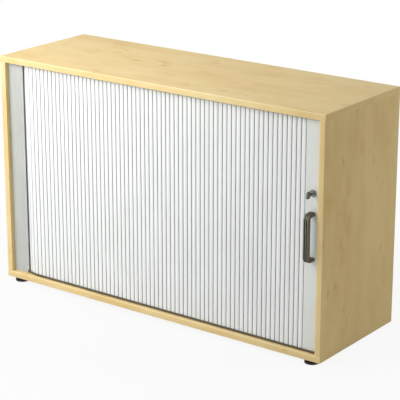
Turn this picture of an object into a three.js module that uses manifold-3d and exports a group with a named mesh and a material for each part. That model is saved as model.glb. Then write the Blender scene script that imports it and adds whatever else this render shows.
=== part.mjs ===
// Tambour door cabinet: a low office cupboard closed by a sliding curtain of upright slats.
// Lengths are millimetres and +Z is up. The cabinet faces -Y, and its curtain opens towards -X.
// Places are worked out from the left, front, lower corner of the carcass, and every piece is then
// moved so that the origin lies on the floor, under the middle of the whole object.

import * as THREE from 'three';
import { mergeVertices } from 'three/addons/utils/BufferGeometryUtils.js';
import Module from 'manifold-3d';

const wasm = await Module();
wasm.setup();

// Boards of the carcass
const CABINET_WIDTH = 1200;
const CABINET_DEPTH = 400;
const CARCASS_HEIGHT = 730;
const BOARD = 19;
const EDGE_ROUND = 1.5;
const BACK_BOARD = 8;
const BACK_INSET = 2;
const INNER_BACK_BOARD = 6;

// Curtain of hooked slats
const SLAT_PITCH = 15.8;
const SLAT_THICKNESS = 8;
const SLAT_GROOVE = 1.8;
const SLAT_SHOULDER = 1.5;
const SLAT_CROWN = 0.3;
const SLAT_BACK_TAPER = 0.5;
const SLAT_WALL = 1.2;
const SLAT_END_GAP = 0.6;
const SLATS_IN_A_STRIP = 4;
const TAIL_SLATS = 2;
const HOOK_RADIUS = 1.2;
const HOOK_NECK = 0.9;
const HOOK_INSET = 2.2;
const HOOK_CLEARANCE = 0.35;
const SOCKET_MOUTH = 1.8;

// Track that the ends of the slats run in
const TRACK_SETBACK = 12.5;
const TRACK_LIP = 2.5;
const TRACK_FLOOR = 1.2;
const TRACK_HEIGHT = 7;
const UPPER_TRACK_HEIGHT = 4.8;
const TRACK_BEND = 92;
const TRACK_RUNNING_GAP = 0.6;
const TRACK_BOARD_GAP = 1.5;
const TRACK_END_ROOM = 5;
const TRACK_END_STOP = 4;

// Strip that covers the turn of the curtain
const FASCIA_SETBACK = 15;
const FASCIA_THICKNESS = 9;
const FASCIA_FLANGE_WALL = 2.5;
const FASCIA_FLANGE_DEPTH = 24;
const FASCIA_ROUND = 1;
const FASCIA_TRACK_GAP = 0.6;

// Rail that ends the curtain and carries the handle and the lock
const RAIL_WIDTH = 50;
const RAIL_WALL = 1.6;
const RAIL_ROUND = 1;
const RAIL_SIDE_GAP = 1;
const STOP_SLATS = 1;

// Bow handle
const HANDLE_HEIGHT = 369.5;
const HANDLE_CENTRES = 134;
const HANDLE_PROJECTION = 34;
const HANDLE_WIDTH = 18;
const HANDLE_THICKNESS = 11;
const HANDLE_LOBE = 1.6;
const HANDLE_CORNER = 12;
const HANDLE_ROUND = 1.5;
const SCREW_RADIUS = 2;
const SCREW_HEAD_RADIUS = 4.2;
const SCREW_HEAD_HEIGHT = 2.6;
const SCREW_REACH = 10;
const SCREW_TIP_ROOM = 2;

// Lock in the rail
const LOCK_ABOVE_SCREW = 59.5;
const ROSETTE_RADIUS = 10.5;
const ROSETTE_HEIGHT = 3;
const ROSETTE_CHAMFER = 1.2;
const BARREL_RADIUS = 8;
const PLUG_RADIUS = 5.5;
const PLUG_PROUD = 0.6;
const PLUG_END_WALL = 2;
const CASE_DEPTH = 12;
const CASE_HEIGHT = 26;
const CASE_LEFT = 13;
const CASE_ROUND = 3;
const BOLT_HEIGHT = 11;
const BOLT_THICKNESS = 3.4;
const BOLT_LENGTH = 15;
const BOLT_NOSE = 1;
const BOLT_THROW = 8;
const BOLT_BACK_WALL = 2.2;
const KEY_REACH = 33;
const KEY_BLADE_HEIGHT = 7;
const KEY_BLADE_THICKNESS = 2.2;
const KEY_BLADE_DEPTH = 15;
const KEY_BOW_LENGTH = 18;
const KEY_BOW_HEIGHT = 21;
const KEY_BOW_THICKNESS = 3.2;
const KEY_BOW_ROUND = 6;
const KEY_HOLE_RADIUS = 2.2;
const KEY_HOLE_INSET = 4.6;
const STRIKE_WIDTH = 16;
const STRIKE_HEIGHT = 44;
const STRIKE_THICKNESS = 1.2;
const STRIKE_ROUND = 3;

// Shelf on pins in rows of holes
const SHELF_LOCK_GAP = 4;
const SHELF_BACK_GAP = 2;
const SHELF_SIDE_GAP = 1;
const PIN_RADIUS = 2.5;
const PIN_DEPTH = 8;
const PIN_REACH = 9;
const PIN_PAD_WIDTH = 10;
const PIN_PAD_THICKNESS = 1.8;
const PIN_HOLE_ROOM = 1;
const PIN_ROW_INSET = 37;
const HOLE_PITCH = 32;
const HOLES_EACH_WAY = 2;

// Levelling feet
const FOOT_HEIGHT = 13;
const FOOT_RADIUS = 22.5;
const FOOT_RIM_HEIGHT = 6;
const FOOT_RIM_ROUND = 1.6;
const FOOT_TOP_RADIUS = 13;
const FOOT_INSET_X = 41;
const FOOT_INSET_Y = 24;
const STEM_RADIUS = 4;
const STEM_SEAT_DEPTH = 6;
const SOCKET_RADIUS = 8;
const SOCKET_DEPTH = 16;
const SOCKET_FLANGE_RADIUS = 12;
const SOCKET_FLANGE = 2;

// Gap that a fixed piece keeps from the hole it sits in, and the overrun of a cut
const FIT_GAP = 0.3;
const CUT_OVERRUN = 1;

// Smoothness of round forms, as counts of flats
const BEND_STEPS = 12;
const HOOK_STEPS = 6;
const LOBE_STEPS = 5;
const CORNER_STEPS = 5;
const ROUND_STEPS = 2;
const SMALL_ROUND_SIDES = 10;
const ROUND_SIDES = 20;
const FOOT_SIDES = 28;

// Places that follow from the sizes above
const sideLow = BOARD;
const sideHigh = CARCASS_HEIGHT - BOARD;
const innerRight = CABINET_WIDTH - BOARD;
const backInner = CABINET_DEPTH - BACK_INSET - BACK_BOARD;

const trackGroove = SLAT_THICKNESS + 2 * TRACK_RUNNING_GAP;
const trackWidth = trackGroove + 2 * TRACK_LIP;
const frontRunY = TRACK_SETBACK + trackWidth / 2;
const backRunY = backInner - TRACK_BOARD_GAP - trackWidth / 2;
const sideRunX = BOARD + TRACK_BOARD_GAP + trackWidth / 2;
const bendX = sideRunX + TRACK_BEND;
const frontBendY = frontRunY + TRACK_BEND;
const backBendY = backRunY - TRACK_BEND;

const railFront = frontRunY - SLAT_THICKNESS / 2;
const railBack = railFront + SLAT_THICKNESS;
const railRight = innerRight - RAIL_SIDE_GAP;
const railLeft = railRight - RAIL_WIDTH;
const railMiddle = (railLeft + railRight) / 2;
const railHingeX = railLeft + HOOK_INSET;
const slatLow = sideLow + TRACK_FLOOR + SLAT_END_GAP;
const slatHigh = sideHigh - TRACK_FLOOR - SLAT_END_GAP;

const screwHeights = [HANDLE_HEIGHT - HANDLE_CENTRES / 2, HANDLE_HEIGHT + HANDLE_CENTRES / 2];
const lockHeight = screwHeights[1] + LOCK_ABOVE_SCREW;

// Lengths along the track, counted from the hook of the closed rail
const straightLength = railHingeX - bendX;
const bendLength = (TRACK_BEND * Math.PI) / 2;
const sideLength = backBendY - frontBendY;
const slatsWanted = Math.ceil((straightLength + bendLength) / SLAT_PITCH) + TAIL_SLATS;
const stripCount = Math.ceil(slatsWanted / SLATS_IN_A_STRIP);
const curtainLength = stripCount * SLATS_IN_A_STRIP * SLAT_PITCH;

// The opened rail stops a whole number of slats from where it closes, just short of the bend
const straightSlats = Math.floor(straightLength / SLAT_PITCH);
const doorTravel = (straightSlats - STOP_SLATS) * SLAT_PITCH;
const trackLength = curtainLength + doorTravel + TRACK_END_ROOM;
const backRunLength = trackLength - straightLength - 2 * bendLength - sideLength;
const trackEndX = bendX + backRunLength;

// The inner panels meet in a corner that keeps clear of the bends
const innerCorner = (TRACK_BEND - trackWidth / 2 - TRACK_BOARD_GAP) / Math.SQRT2;
const innerLeftX = bendX - innerCorner;
const innerFaceX = innerLeftX + BOARD;
const innerLeftFront = frontBendY - innerCorner;
const innerBackY = backBendY + innerCorner;
const innerBackFront = innerBackY - INNER_BACK_BOARD;

// The fascia ends where the track's outer lip comes past its back
const fasciaBack = FASCIA_SETBACK + FASCIA_THICKNESS;
const lipReach = TRACK_BEND + trackWidth / 2;
const lipDepth = frontBendY - fasciaBack - FASCIA_TRACK_GAP;
const fasciaRight = bendX - Math.sqrt(lipReach ** 2 - lipDepth ** 2);

const boltY = railBack + CASE_DEPTH - BOLT_BACK_WALL - FIT_GAP - BOLT_THICKNESS / 2;
const boltTip = railRight - RAIL_SIDE_GAP;
const plugBack = boltY - BOLT_THICKNESS / 2 - FIT_GAP - PLUG_END_WALL;

const shelfFront = railBack + CASE_DEPTH + SHELF_LOCK_GAP;
const shelfBack = innerBackFront - SHELF_BACK_GAP;
const shelfUnder = (sideLow + sideHigh - BOARD) / 2;
const pinHeight = shelfUnder - PIN_RADIUS;
const pinRows = [shelfFront + PIN_ROW_INSET, shelfBack - PIN_ROW_INSET];

// The handle or the key is the foremost point of the object
const frontmost = railFront - Math.max(KEY_REACH, HANDLE_PROJECTION);
const frameShift = new THREE.Vector3(
  -CABINET_WIDTH / 2,
  -(CABINET_DEPTH + frontmost) / 2,
  FOOT_HEIGHT,
);

// Finishes
const finish = (name, color, roughness, metalness) => new THREE.MeshStandardMaterial({
  name,
  color,
  roughness,
  metalness,
});
const maple = finish('maple_board', 0xe3c592, 0.55, 0);
const innerBoard = finish('inner_board', 0xd8d3c8, 0.7, 0);
const silver = finish('silver_slat', 0xd6d9d7, 0.45, 0.2);
const silverRail = finish('silver_rail', 0xcfd2d0, 0.4, 0.5);
const trackPlastic = finish('dark_track', 0x3b372f, 0.6, 0);
const gunmetal = finish('gunmetal', 0x4a493d, 0.4, 0.6);
const steel = finish('bright_steel', 0xb9bcbd, 0.3, 0.9);
const blackPlastic = finish('black_plastic', 0x141414, 0.55, 0);

// Returns the geometry as an indexed mesh whose corners are shared, without flattened triangles.
function shared(geometry) {
  const bare = geometry.clone();
  bare.deleteAttribute('normal');
  bare.deleteAttribute('uv');
  const merged = mergeVertices(bare);
  const corners = Array.from(merged.index.array);
  const kept = [];
  for (let start = 0; start < corners.length; start += 3) {
    const [a, b, c] = corners.slice(start, start + 3);
    if (a !== b && b !== c && c !== a) kept.push(a, b, c);
  }
  merged.setIndex(kept);
  return merged;
}

function toManifold(geometry) {
  const merged = shared(geometry);
  return new wasm.Manifold(new wasm.Mesh({
    numProp: 3,
    vertProperties: new Float32Array(merged.attributes.position.array),
    triVerts: new Uint32Array(merged.index.array),
  }));
}

function fromManifold(body) {
  const mesh = body.getMesh();
  const geometry = new THREE.BufferGeometry();
  geometry.setAttribute('position', new THREE.BufferAttribute(new Float32Array(mesh.vertProperties), 3));
  geometry.setIndex(new THREE.BufferAttribute(new Uint32Array(mesh.triVerts), 1));
  geometry.computeVertexNormals();
  return geometry;
}

function joined(...pieces) {
  return fromManifold(pieces.map(toManifold).reduce((body, piece) => body.add(piece)));
}

function cutBy(geometry, tools) {
  const bodies = tools.map(toManifold);
  return fromManifold(bodies.reduce((body, tool) => body.subtract(tool), toManifold(geometry)));
}

// A box given by its low and high corners.
function block(low, high) {
  const size = high.map((value, axis) => value - low[axis]);
  const middle = high.map((value, axis) => (value + low[axis]) / 2);
  return new THREE.BoxGeometry(...size).translate(...middle);
}

// A rectangle with round corners, drawn from its low corner to its high corner.
function roundedRectangle(lowX, lowY, highX, highY, radius) {
  const shape = new THREE.Shape();
  shape.absarc(highX - radius, lowY + radius, radius, -Math.PI / 2, 0);
  shape.absarc(highX - radius, highY - radius, radius, 0, Math.PI / 2);
  shape.absarc(lowX + radius, highY - radius, radius, Math.PI / 2, Math.PI);
  shape.absarc(lowX + radius, lowY + radius, radius, Math.PI, 1.5 * Math.PI);
  return shape;
}

// Extrudes an outline drawn in X and Y from one height to another.
function prism(shape, low, high, curveSegments = ROUND_STEPS) {
  const depth = high - low;
  return new THREE.ExtrudeGeometry(shape, { depth, bevelEnabled: false, curveSegments })
    .translate(0, 0, low);
}

// Extrudes an outline drawn in Y and Z between two places on X.
function slab(shape, low, high, curveSegments = ROUND_STEPS) {
  const turn = new THREE.Matrix4().makeBasis(
    new THREE.Vector3(0, 1, 0),
    new THREE.Vector3(0, 0, 1),
    new THREE.Vector3(1, 0, 0),
  );
  return prism(shape, low, high, curveSegments).applyMatrix4(turn);
}

// Extrudes an outline drawn in X and Z between two places on Y.
function plate(shape, low, high, curveSegments = ROUND_STEPS) {
  const turn = new THREE.Matrix4().makeBasis(
    new THREE.Vector3(1, 0, 0),
    new THREE.Vector3(0, 0, 1),
    new THREE.Vector3(0, -1, 0),
  );
  return prism(shape, -high, -low, curveSegments).applyMatrix4(turn);
}

// Revolves an outline of [radius, height] points about an upright axis.
function turned(outline, sides) {
  const points = outline.map(([radius, height]) => new THREE.Vector2(radius, height));
  return shared(new THREE.LatheGeometry(points, sides).rotateX(Math.PI / 2));
}

// A round bar from the origin of its axis: along X, or along Y.
function barAlongX(radius, low, high, sides) {
  return new THREE.CylinderGeometry(radius, radius, high - low, sides)
    .rotateZ(Math.PI / 2)
    .translate((low + high) / 2, 0, 0);
}

function barAlongY(radius, low, high, sides) {
  return new THREE.CylinderGeometry(radius, radius, high - low, sides).translate(0, (low + high) / 2, 0);
}

// Joins rings of points, each a section of the same outline, into one closed skin.
function skin(outline, rings) {
  const count = outline.length;
  const positions = rings.flat().flatMap((point) => point.toArray());
  const index = [];
  for (let ring = 0; ring + 1 < rings.length; ring += 1) {
    for (let side = 0; side < count; side += 1) {
      const here = ring * count;
      const there = here + count;
      const next = (side + 1) % count;
      index.push(here + side, here + next, there + next);
      index.push(here + side, there + next, there + side);
    }
  }
  const last = (rings.length - 1) * count;
  for (const [a, b, c] of THREE.ShapeUtils.triangulateShape(outline, [])) {
    index.push(a, c, b);
    index.push(last + a, last + b, last + c);
  }
  const geometry = new THREE.BufferGeometry();
  geometry.setAttribute('position', new THREE.Float32BufferAttribute(positions, 3));
  geometry.setIndex(index);
  geometry.computeVertexNormals();
  return geometry;
}

const cabinet = new THREE.Group();
cabinet.name = 'tambour_door_cabinet';

// Adds a piece whose geometry lies where it belongs, or is moved there by the offset.
function addPiece(name, geometry, material, offset = [0, 0, 0]) {
  const mesh = new THREE.Mesh(geometry, material);
  mesh.name = name;
  mesh.position.set(...offset).add(frameShift);
  cabinet.add(mesh);
}

// Lying boards, with the arrises of their edging rounded all round
function lyingBoard(low) {
  const outline = new THREE.Shape([
    new THREE.Vector2(EDGE_ROUND, EDGE_ROUND),
    new THREE.Vector2(CABINET_WIDTH - EDGE_ROUND, EDGE_ROUND),
    new THREE.Vector2(CABINET_WIDTH - EDGE_ROUND, CABINET_DEPTH - EDGE_ROUND),
    new THREE.Vector2(EDGE_ROUND, CABINET_DEPTH - EDGE_ROUND),
  ]);
  return new THREE.ExtrudeGeometry(outline, {
    depth: BOARD - 2 * EDGE_ROUND,
    bevelSize: EDGE_ROUND,
    bevelThickness: EDGE_ROUND,
    bevelSegments: ROUND_STEPS,
  }).translate(0, 0, low + EDGE_ROUND);
}

const footPlaces = [FOOT_INSET_X, CABINET_WIDTH - FOOT_INSET_X].flatMap(
  (x) => [FOOT_INSET_Y, CABINET_DEPTH - FOOT_INSET_Y].map((y) => [x, y, 0]),
);
const socketHole = turned([
  [0, -CUT_OVERRUN],
  [SOCKET_RADIUS + FIT_GAP, -CUT_OVERRUN],
  [SOCKET_RADIUS + FIT_GAP, SOCKET_DEPTH],
  [0, SOCKET_DEPTH],
], ROUND_SIDES);
const socketHoles = footPlaces.map((place) => socketHole.clone().translate(...place));
addPiece('top_panel', lyingBoard(sideHigh), maple);
addPiece('bottom_panel', cutBy(lyingBoard(0), socketHoles), maple);

// Standing sides, with the arrises of the front edging rounded
function standingSide(low) {
  const high = low + BOARD;
  const outline = new THREE.Shape();
  outline.absarc(low + EDGE_ROUND, EDGE_ROUND, EDGE_ROUND, Math.PI, 1.5 * Math.PI);
  outline.absarc(high - EDGE_ROUND, EDGE_ROUND, EDGE_ROUND, 1.5 * Math.PI, 2 * Math.PI);
  outline.lineTo(high, CABINET_DEPTH);
  outline.lineTo(low, CABINET_DEPTH);
  return prism(outline, sideLow, sideHigh);
}

// Blind holes for shelf pins, bored along X from a board's face into the board
function pinHoles(faceX, inwards) {
  const depth = PIN_DEPTH + PIN_HOLE_ROOM;
  const hole = barAlongX(PIN_RADIUS + FIT_GAP, -CUT_OVERRUN, depth, SMALL_ROUND_SIDES);
  if (inwards < 0) hole.rotateZ(Math.PI);
  const holes = [];
  for (const row of pinRows) {
    for (let step = -HOLES_EACH_WAY; step <= HOLES_EACH_WAY; step += 1) {
      holes.push(hole.clone().translate(faceX, row, pinHeight + step * HOLE_PITCH));
    }
  }
  return holes;
}

const strikeY = [boltY - STRIKE_WIDTH / 2, boltY + STRIKE_WIDTH / 2];
const strikeZ = [lockHeight - STRIKE_HEIGHT / 2, lockHeight + STRIKE_HEIGHT / 2];
const strikeRecess = slab(
  roundedRectangle(
    strikeY[0] - FIT_GAP,
    strikeZ[0] - FIT_GAP,
    strikeY[1] + FIT_GAP,
    strikeZ[1] + FIT_GAP,
    STRIKE_ROUND + FIT_GAP,
  ),
  innerRight - CUT_OVERRUN,
  innerRight + STRIKE_THICKNESS,
);
const boltSlot = (lowX, highX) => block(
  [lowX, boltY - BOLT_THICKNESS / 2 - FIT_GAP, lockHeight - BOLT_HEIGHT / 2 - FIT_GAP],
  [highX, boltY + BOLT_THICKNESS / 2 + FIT_GAP, lockHeight + BOLT_HEIGHT / 2 + FIT_GAP],
);
const mortise = boltSlot(innerRight - CUT_OVERRUN, boltTip + BOLT_THROW + CUT_OVERRUN);
addPiece('left_side', standingSide(0), maple);
addPiece('right_side', cutBy(
  standingSide(innerRight),
  [strikeRecess, mortise, ...pinHoles(innerRight, 1)],
), maple);
addPiece('back_panel', block(
  [BOARD, backInner, sideLow],
  [innerRight, backInner + BACK_BOARD, sideHigh],
), maple);

// Inner panels between the contents and the stored curtain
const innerLeft = block([innerLeftX, innerLeftFront, sideLow], [innerFaceX, innerBackFront, sideHigh]);
addPiece('inner_left_panel', cutBy(innerLeft, pinHoles(innerFaceX, -1)), maple);
addPiece('inner_back_panel', block(
  [innerLeftX, innerBackFront, sideLow],
  [innerRight, innerBackY, sideHigh],
), innerBoard);

// Shelf on four pins
function shelfBoard() {
  const low = innerFaceX + SHELF_SIDE_GAP;
  const high = innerRight - SHELF_SIDE_GAP;
  const shelfTop = shelfUnder + BOARD;
  const roundY = shelfFront + EDGE_ROUND;
  const outline = new THREE.Shape();
  outline.absarc(roundY, shelfTop - EDGE_ROUND, EDGE_ROUND, Math.PI / 2, Math.PI);
  outline.absarc(roundY, shelfUnder + EDGE_ROUND, EDGE_ROUND, Math.PI, 1.5 * Math.PI);
  outline.lineTo(shelfBack, shelfUnder);
  outline.lineTo(shelfBack, shelfTop);
  return slab(outline, low, high);
}
addPiece('shelf', shelfBoard(), maple);

const shelfPin = joined(
  barAlongX(PIN_RADIUS, -PIN_DEPTH, PIN_REACH, SMALL_ROUND_SIDES),
  block(
    [0, -PIN_PAD_WIDTH / 2, PIN_RADIUS - PIN_PAD_THICKNESS],
    [PIN_REACH, PIN_PAD_WIDTH / 2, PIN_RADIUS],
  ),
);
pinRows.forEach((row, index) => {
  const facingLeft = shelfPin.clone().rotateZ(Math.PI);
  addPiece(`shelf_pin_${index + 1}`, shelfPin, steel, [innerFaceX, row, pinHeight]);
  addPiece(`shelf_pin_${index + pinRows.length + 1}`, facingLeft, steel, [innerRight, row, pinHeight]);
});

// Point of the track's middle line, at a length counted from the hook of the closed rail
function trackPoint(length) {
  let rest = length;
  if (rest <= straightLength) return new THREE.Vector2(railHingeX - rest, frontRunY);
  rest -= straightLength;
  if (rest <= bendLength) return bendPoint(frontBendY, -Math.PI / 2 - rest / TRACK_BEND);
  rest -= bendLength;
  if (rest <= sideLength) return new THREE.Vector2(sideRunX, frontBendY + rest);
  rest -= sideLength;
  if (rest <= bendLength) return bendPoint(backBendY, Math.PI - rest / TRACK_BEND);
  return new THREE.Vector2(bendX + rest - bendLength, backRunY);
}

function bendPoint(centreY, angle, radius = TRACK_BEND) {
  return new THREE.Vector2(bendX + radius * Math.cos(angle), centreY + radius * Math.sin(angle));
}

// One edge of a band that follows the track, offset outwards from its middle line
function trackEdge(offset) {
  const radius = TRACK_BEND + offset;
  const points = [new THREE.Vector2(innerRight, frontRunY - offset)];
  for (let step = 0; step <= BEND_STEPS; step += 1) {
    points.push(bendPoint(frontBendY, -Math.PI / 2 - (step / BEND_STEPS) * (Math.PI / 2), radius));
  }
  for (let step = 0; step <= BEND_STEPS; step += 1) {
    points.push(bendPoint(backBendY, Math.PI - (step / BEND_STEPS) * (Math.PI / 2), radius));
  }
  points.push(new THREE.Vector2(trackEndX, backRunY + offset));
  return points;
}

function trackBand(inner, outer, height) {
  return prism(new THREE.Shape([...trackEdge(inner), ...trackEdge(outer).reverse()]), 0, height);
}

// A track is a channel with two lips, stopped at its far end
function track(height) {
  const endStop = block(
    [trackEndX - TRACK_END_STOP, backRunY - trackWidth / 2, 0],
    [trackEndX, backRunY + trackWidth / 2, height],
  );
  return joined(
    trackBand(-trackWidth / 2, trackWidth / 2, TRACK_FLOOR),
    trackBand(trackGroove / 2, trackWidth / 2, height),
    trackBand(-trackWidth / 2, -trackGroove / 2, height),
    endStop,
  );
}

// The upper one is shallower, so that the front edge of the top panel hides it
const upperTrack = fromManifold(toManifold(track(UPPER_TRACK_HEIGHT)).mirror([0, 0, 1]));
addPiece('track_bottom', track(TRACK_HEIGHT), trackPlastic, [0, 0, sideLow]);
addPiece('track_top', upperTrack, trackPlastic, [0, 0, sideHigh]);

// Fascia: an angle strip, fixed by its flange to the left side
const fasciaOutline = new THREE.Shape();
fasciaOutline.absarc(
  fasciaRight - FASCIA_ROUND,
  FASCIA_SETBACK + FASCIA_ROUND,
  FASCIA_ROUND,
  -Math.PI / 2,
  0,
);
fasciaOutline.lineTo(fasciaRight, fasciaBack);
fasciaOutline.lineTo(BOARD + FASCIA_FLANGE_WALL, fasciaBack);
fasciaOutline.lineTo(BOARD + FASCIA_FLANGE_WALL, fasciaBack + FASCIA_FLANGE_DEPTH);
fasciaOutline.lineTo(BOARD, fasciaBack + FASCIA_FLANGE_DEPTH);
fasciaOutline.lineTo(BOARD, FASCIA_SETBACK);
addPiece('left_fascia', prism(fasciaOutline, sideLow, sideHigh), silver);

// A slat's own outline, in a length along the curtain and a depth from its front.
// Its left hinge is the middle of its socket, at length 0, and its hook is one pitch to the right.
const slatLeft = -HOOK_INSET;
const slatRight = SLAT_PITCH - HOOK_INSET - SLAT_GROOVE;
const hingeDepth = SLAT_THICKNESS / 2;
const at = (length, depth) => new THREE.Vector2(length, depth);

// Front of a slat from left to right: a shallow crown between two round shoulders
function slatFront() {
  const points = [at(slatLeft, hingeDepth - HOOK_NECK / 2)];
  for (let step = 0; step <= ROUND_STEPS; step += 1) {
    const angle = (step / ROUND_STEPS) * (Math.PI / 2);
    const inset = SLAT_SHOULDER * (1 - Math.cos(angle));
    points.push(at(slatLeft + inset, SLAT_CROWN + SLAT_SHOULDER * (1 - Math.sin(angle))));
  }
  points.push(at((slatLeft + slatRight) / 2, 0));
  for (let step = ROUND_STEPS; step >= 0; step -= 1) {
    const angle = (step / ROUND_STEPS) * (Math.PI / 2);
    const inset = SLAT_SHOULDER * (1 - Math.cos(angle));
    points.push(at(slatRight - inset, SLAT_CROWN + SLAT_SHOULDER * (1 - Math.sin(angle))));
  }
  points.push(at(slatRight, hingeDepth - HOOK_NECK / 2));
  return points;
}

// Back of a slat from right to left, drawn in so that slats can close up in a bend
function slatBack() {
  return [
    at(slatRight, hingeDepth + HOOK_NECK / 2),
    at(slatRight - SLAT_BACK_TAPER, SLAT_THICKNESS),
    at(slatLeft + SLAT_BACK_TAPER, SLAT_THICKNESS),
    at(slatLeft, hingeDepth + HOOK_NECK / 2),
  ];
}

// Bead of the hook, from the front of its neck round to the back
function hookBead() {
  const neckAngle = Math.asin(HOOK_NECK / 2 / HOOK_RADIUS);
  const points = [];
  for (let step = 0; step <= HOOK_STEPS; step += 1) {
    const angle = neckAngle - Math.PI + (step / HOOK_STEPS) * 2 * (Math.PI - neckAngle);
    points.push(at(
      SLAT_PITCH + HOOK_RADIUS * Math.cos(angle),
      hingeDepth + HOOK_RADIUS * Math.sin(angle),
    ));
  }
  return points;
}

// Socket in a left edge, from the back of its mouth round to the front
function socketCavity() {
  const radius = HOOK_RADIUS + HOOK_CLEARANCE;
  const mouth = SOCKET_MOUTH / 2;
  const mouthAngle = Math.asin(mouth / radius);
  const points = [at(slatLeft, hingeDepth + mouth)];
  for (let step = 0; step <= HOOK_STEPS; step += 1) {
    const angle = Math.PI - mouthAngle - (step / HOOK_STEPS) * 2 * (Math.PI - mouthAngle);
    points.push(at(radius * Math.cos(angle), hingeDepth + radius * Math.sin(angle)));
  }
  points.push(at(slatLeft, hingeDepth - mouth));
  return points;
}

// Hollow cell of a slat, between its socket and its right wall
function slatCell() {
  const low = HOOK_RADIUS + HOOK_CLEARANCE + SLAT_WALL;
  const high = slatRight - SLAT_BACK_TAPER - SLAT_WALL;
  return [
    at(low, SLAT_CROWN + SLAT_WALL),
    at(low, SLAT_THICKNESS - SLAT_WALL),
    at(high, SLAT_THICKNESS - SLAT_WALL),
    at(high, SLAT_CROWN + SLAT_WALL),
  ];
}

// Places a point of a slat's outline between its two hinges on the track
function placed(point, leftHinge, rightHinge) {
  const along = rightHinge.clone().sub(leftHinge).normalize();
  const inwards = new THREE.Vector2(-along.y, along.x);
  return leftHinge.clone()
    .addScaledVector(along, point.x)
    .addScaledVector(inwards, point.y - hingeDepth);
}

// A strip of slats hooked to its neighbours, counted from the closing rail
function curtainStrip(strip) {
  const slats = [];
  for (let count = SLATS_IN_A_STRIP - 1; count >= 0; count -= 1) {
    const slat = strip * SLATS_IN_A_STRIP + count;
    const hinges = [trackPoint((slat + 1) * SLAT_PITCH), trackPoint(slat * SLAT_PITCH)];
    slats.push((point) => placed(point, ...hinges));
  }
  const first = slats[0];
  const last = slats[slats.length - 1];
  const outline = [];
  outline.push(...socketCavity().map(first));
  slats.forEach((place, count) => outline.push(...slatFront().slice(count ? 0 : 1).map(place)));
  outline.push(...hookBead().map(last));
  [...slats].reverse().forEach((place) => outline.push(...slatBack().map(place)));
  outline.pop();
  const shape = new THREE.Shape(outline);
  shape.holes = slats.map((place) => new THREE.Path(slatCell().map(place)));
  return prism(shape, slatLow, slatHigh);
}

for (let strip = 0; strip < stripCount; strip += 1) {
  const number = String(strip + 1).padStart(2, '0');
  addPiece(`curtain_strip_${number}`, curtainStrip(strip), silver);
}

// Closing rail: a hollow flat section with the same socket in its left edge
function closingRail() {
  const width = RAIL_WIDTH;
  const right = slatLeft + width;
  const outline = new THREE.Shape([
    ...socketCavity(),
    at(slatLeft, RAIL_ROUND),
    at(slatLeft + RAIL_ROUND, 0),
    at(right - RAIL_ROUND, 0),
    at(right, RAIL_ROUND),
    at(right, SLAT_THICKNESS - RAIL_ROUND),
    at(right - RAIL_ROUND, SLAT_THICKNESS),
    at(slatLeft + SLAT_BACK_TAPER, SLAT_THICKNESS),
  ]);
  const cellLow = HOOK_RADIUS + HOOK_CLEARANCE + RAIL_WALL;
  outline.holes = [new THREE.Path([
    at(cellLow, RAIL_WALL),
    at(cellLow, SLAT_THICKNESS - RAIL_WALL),
    at(right - RAIL_WALL, SLAT_THICKNESS - RAIL_WALL),
    at(right - RAIL_WALL, RAIL_WALL),
  ])];
  return prism(outline, slatLow, slatHigh).translate(railHingeX, railFront, 0);
}

const railHole = (radius, height) => barAlongY(
  radius + FIT_GAP,
  railFront - CUT_OVERRUN,
  railBack + CUT_OVERRUN,
  ROUND_SIDES,
).translate(railMiddle, 0, height);
addPiece('closing_rail', cutBy(closingRail(), [
  railHole(BARREL_RADIUS, lockHeight),
  ...screwHeights.map((height) => railHole(SCREW_RADIUS, height)),
]), silverRail);

// Bow handle: a flat bar with two lobes on its front, bent twice
function handleOutline() {
  const half = HANDLE_WIDTH / 2;
  const lobeBase = HANDLE_THICKNESS / 2 - HANDLE_LOBE;
  const inside = -HANDLE_THICKNESS / 2;
  const points = [
    at(-half, inside + HANDLE_ROUND),
    at(-half + HANDLE_ROUND, inside),
    at(half - HANDLE_ROUND, inside),
    at(half, inside + HANDLE_ROUND),
  ];
  for (const middle of [half / 2, -half / 2]) {
    for (let step = 0; step <= LOBE_STEPS; step += 1) {
      if (middle < 0 && step === 0) continue;
      const angle = (step / LOBE_STEPS) * Math.PI;
      points.push(at(
        middle + (half / 2) * Math.cos(angle),
        lobeBase + HANDLE_LOBE * Math.sin(angle),
      ));
    }
  }
  return points;
}

function handleBow() {
  const legY = railFront;
  const gripY = railFront - HANDLE_PROJECTION + HANDLE_THICKNESS / 2;
  const [low, high] = screwHeights;
  const stations = [[legY, low, 0]];
  for (let step = 0; step <= CORNER_STEPS; step += 1) {
    const angle = (step / CORNER_STEPS) * (Math.PI / 2);
    stations.push([
      gripY + HANDLE_CORNER * (1 - Math.sin(angle)),
      low + HANDLE_CORNER * (1 - Math.cos(angle)),
      angle,
    ]);
  }
  for (let step = 0; step <= CORNER_STEPS; step += 1) {
    const angle = (step / CORNER_STEPS) * (Math.PI / 2);
    stations.push([
      gripY + HANDLE_CORNER * (1 - Math.cos(angle)),
      high - HANDLE_CORNER * (1 - Math.sin(angle)),
      angle + Math.PI / 2,
    ]);
  }
  stations.push([legY, high, Math.PI]);
  const outline = handleOutline();
  const rings = stations.map(([y, z, angle]) => outline.map((point) => new THREE.Vector3(
    railMiddle - point.x,
    y - point.y * Math.sin(angle),
    z - point.y * Math.cos(angle),
  )));
  const hole = barAlongY(
    SCREW_RADIUS + FIT_GAP,
    railFront - SCREW_REACH - SCREW_TIP_ROOM,
    railFront + CUT_OVERRUN,
    SMALL_ROUND_SIDES,
  );
  const holes = screwHeights.map((height) => hole.clone().translate(railMiddle, 0, height));
  return cutBy(skin(outline, rings), holes);
}
addPiece('handle_bow', handleBow(), gunmetal);

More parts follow.
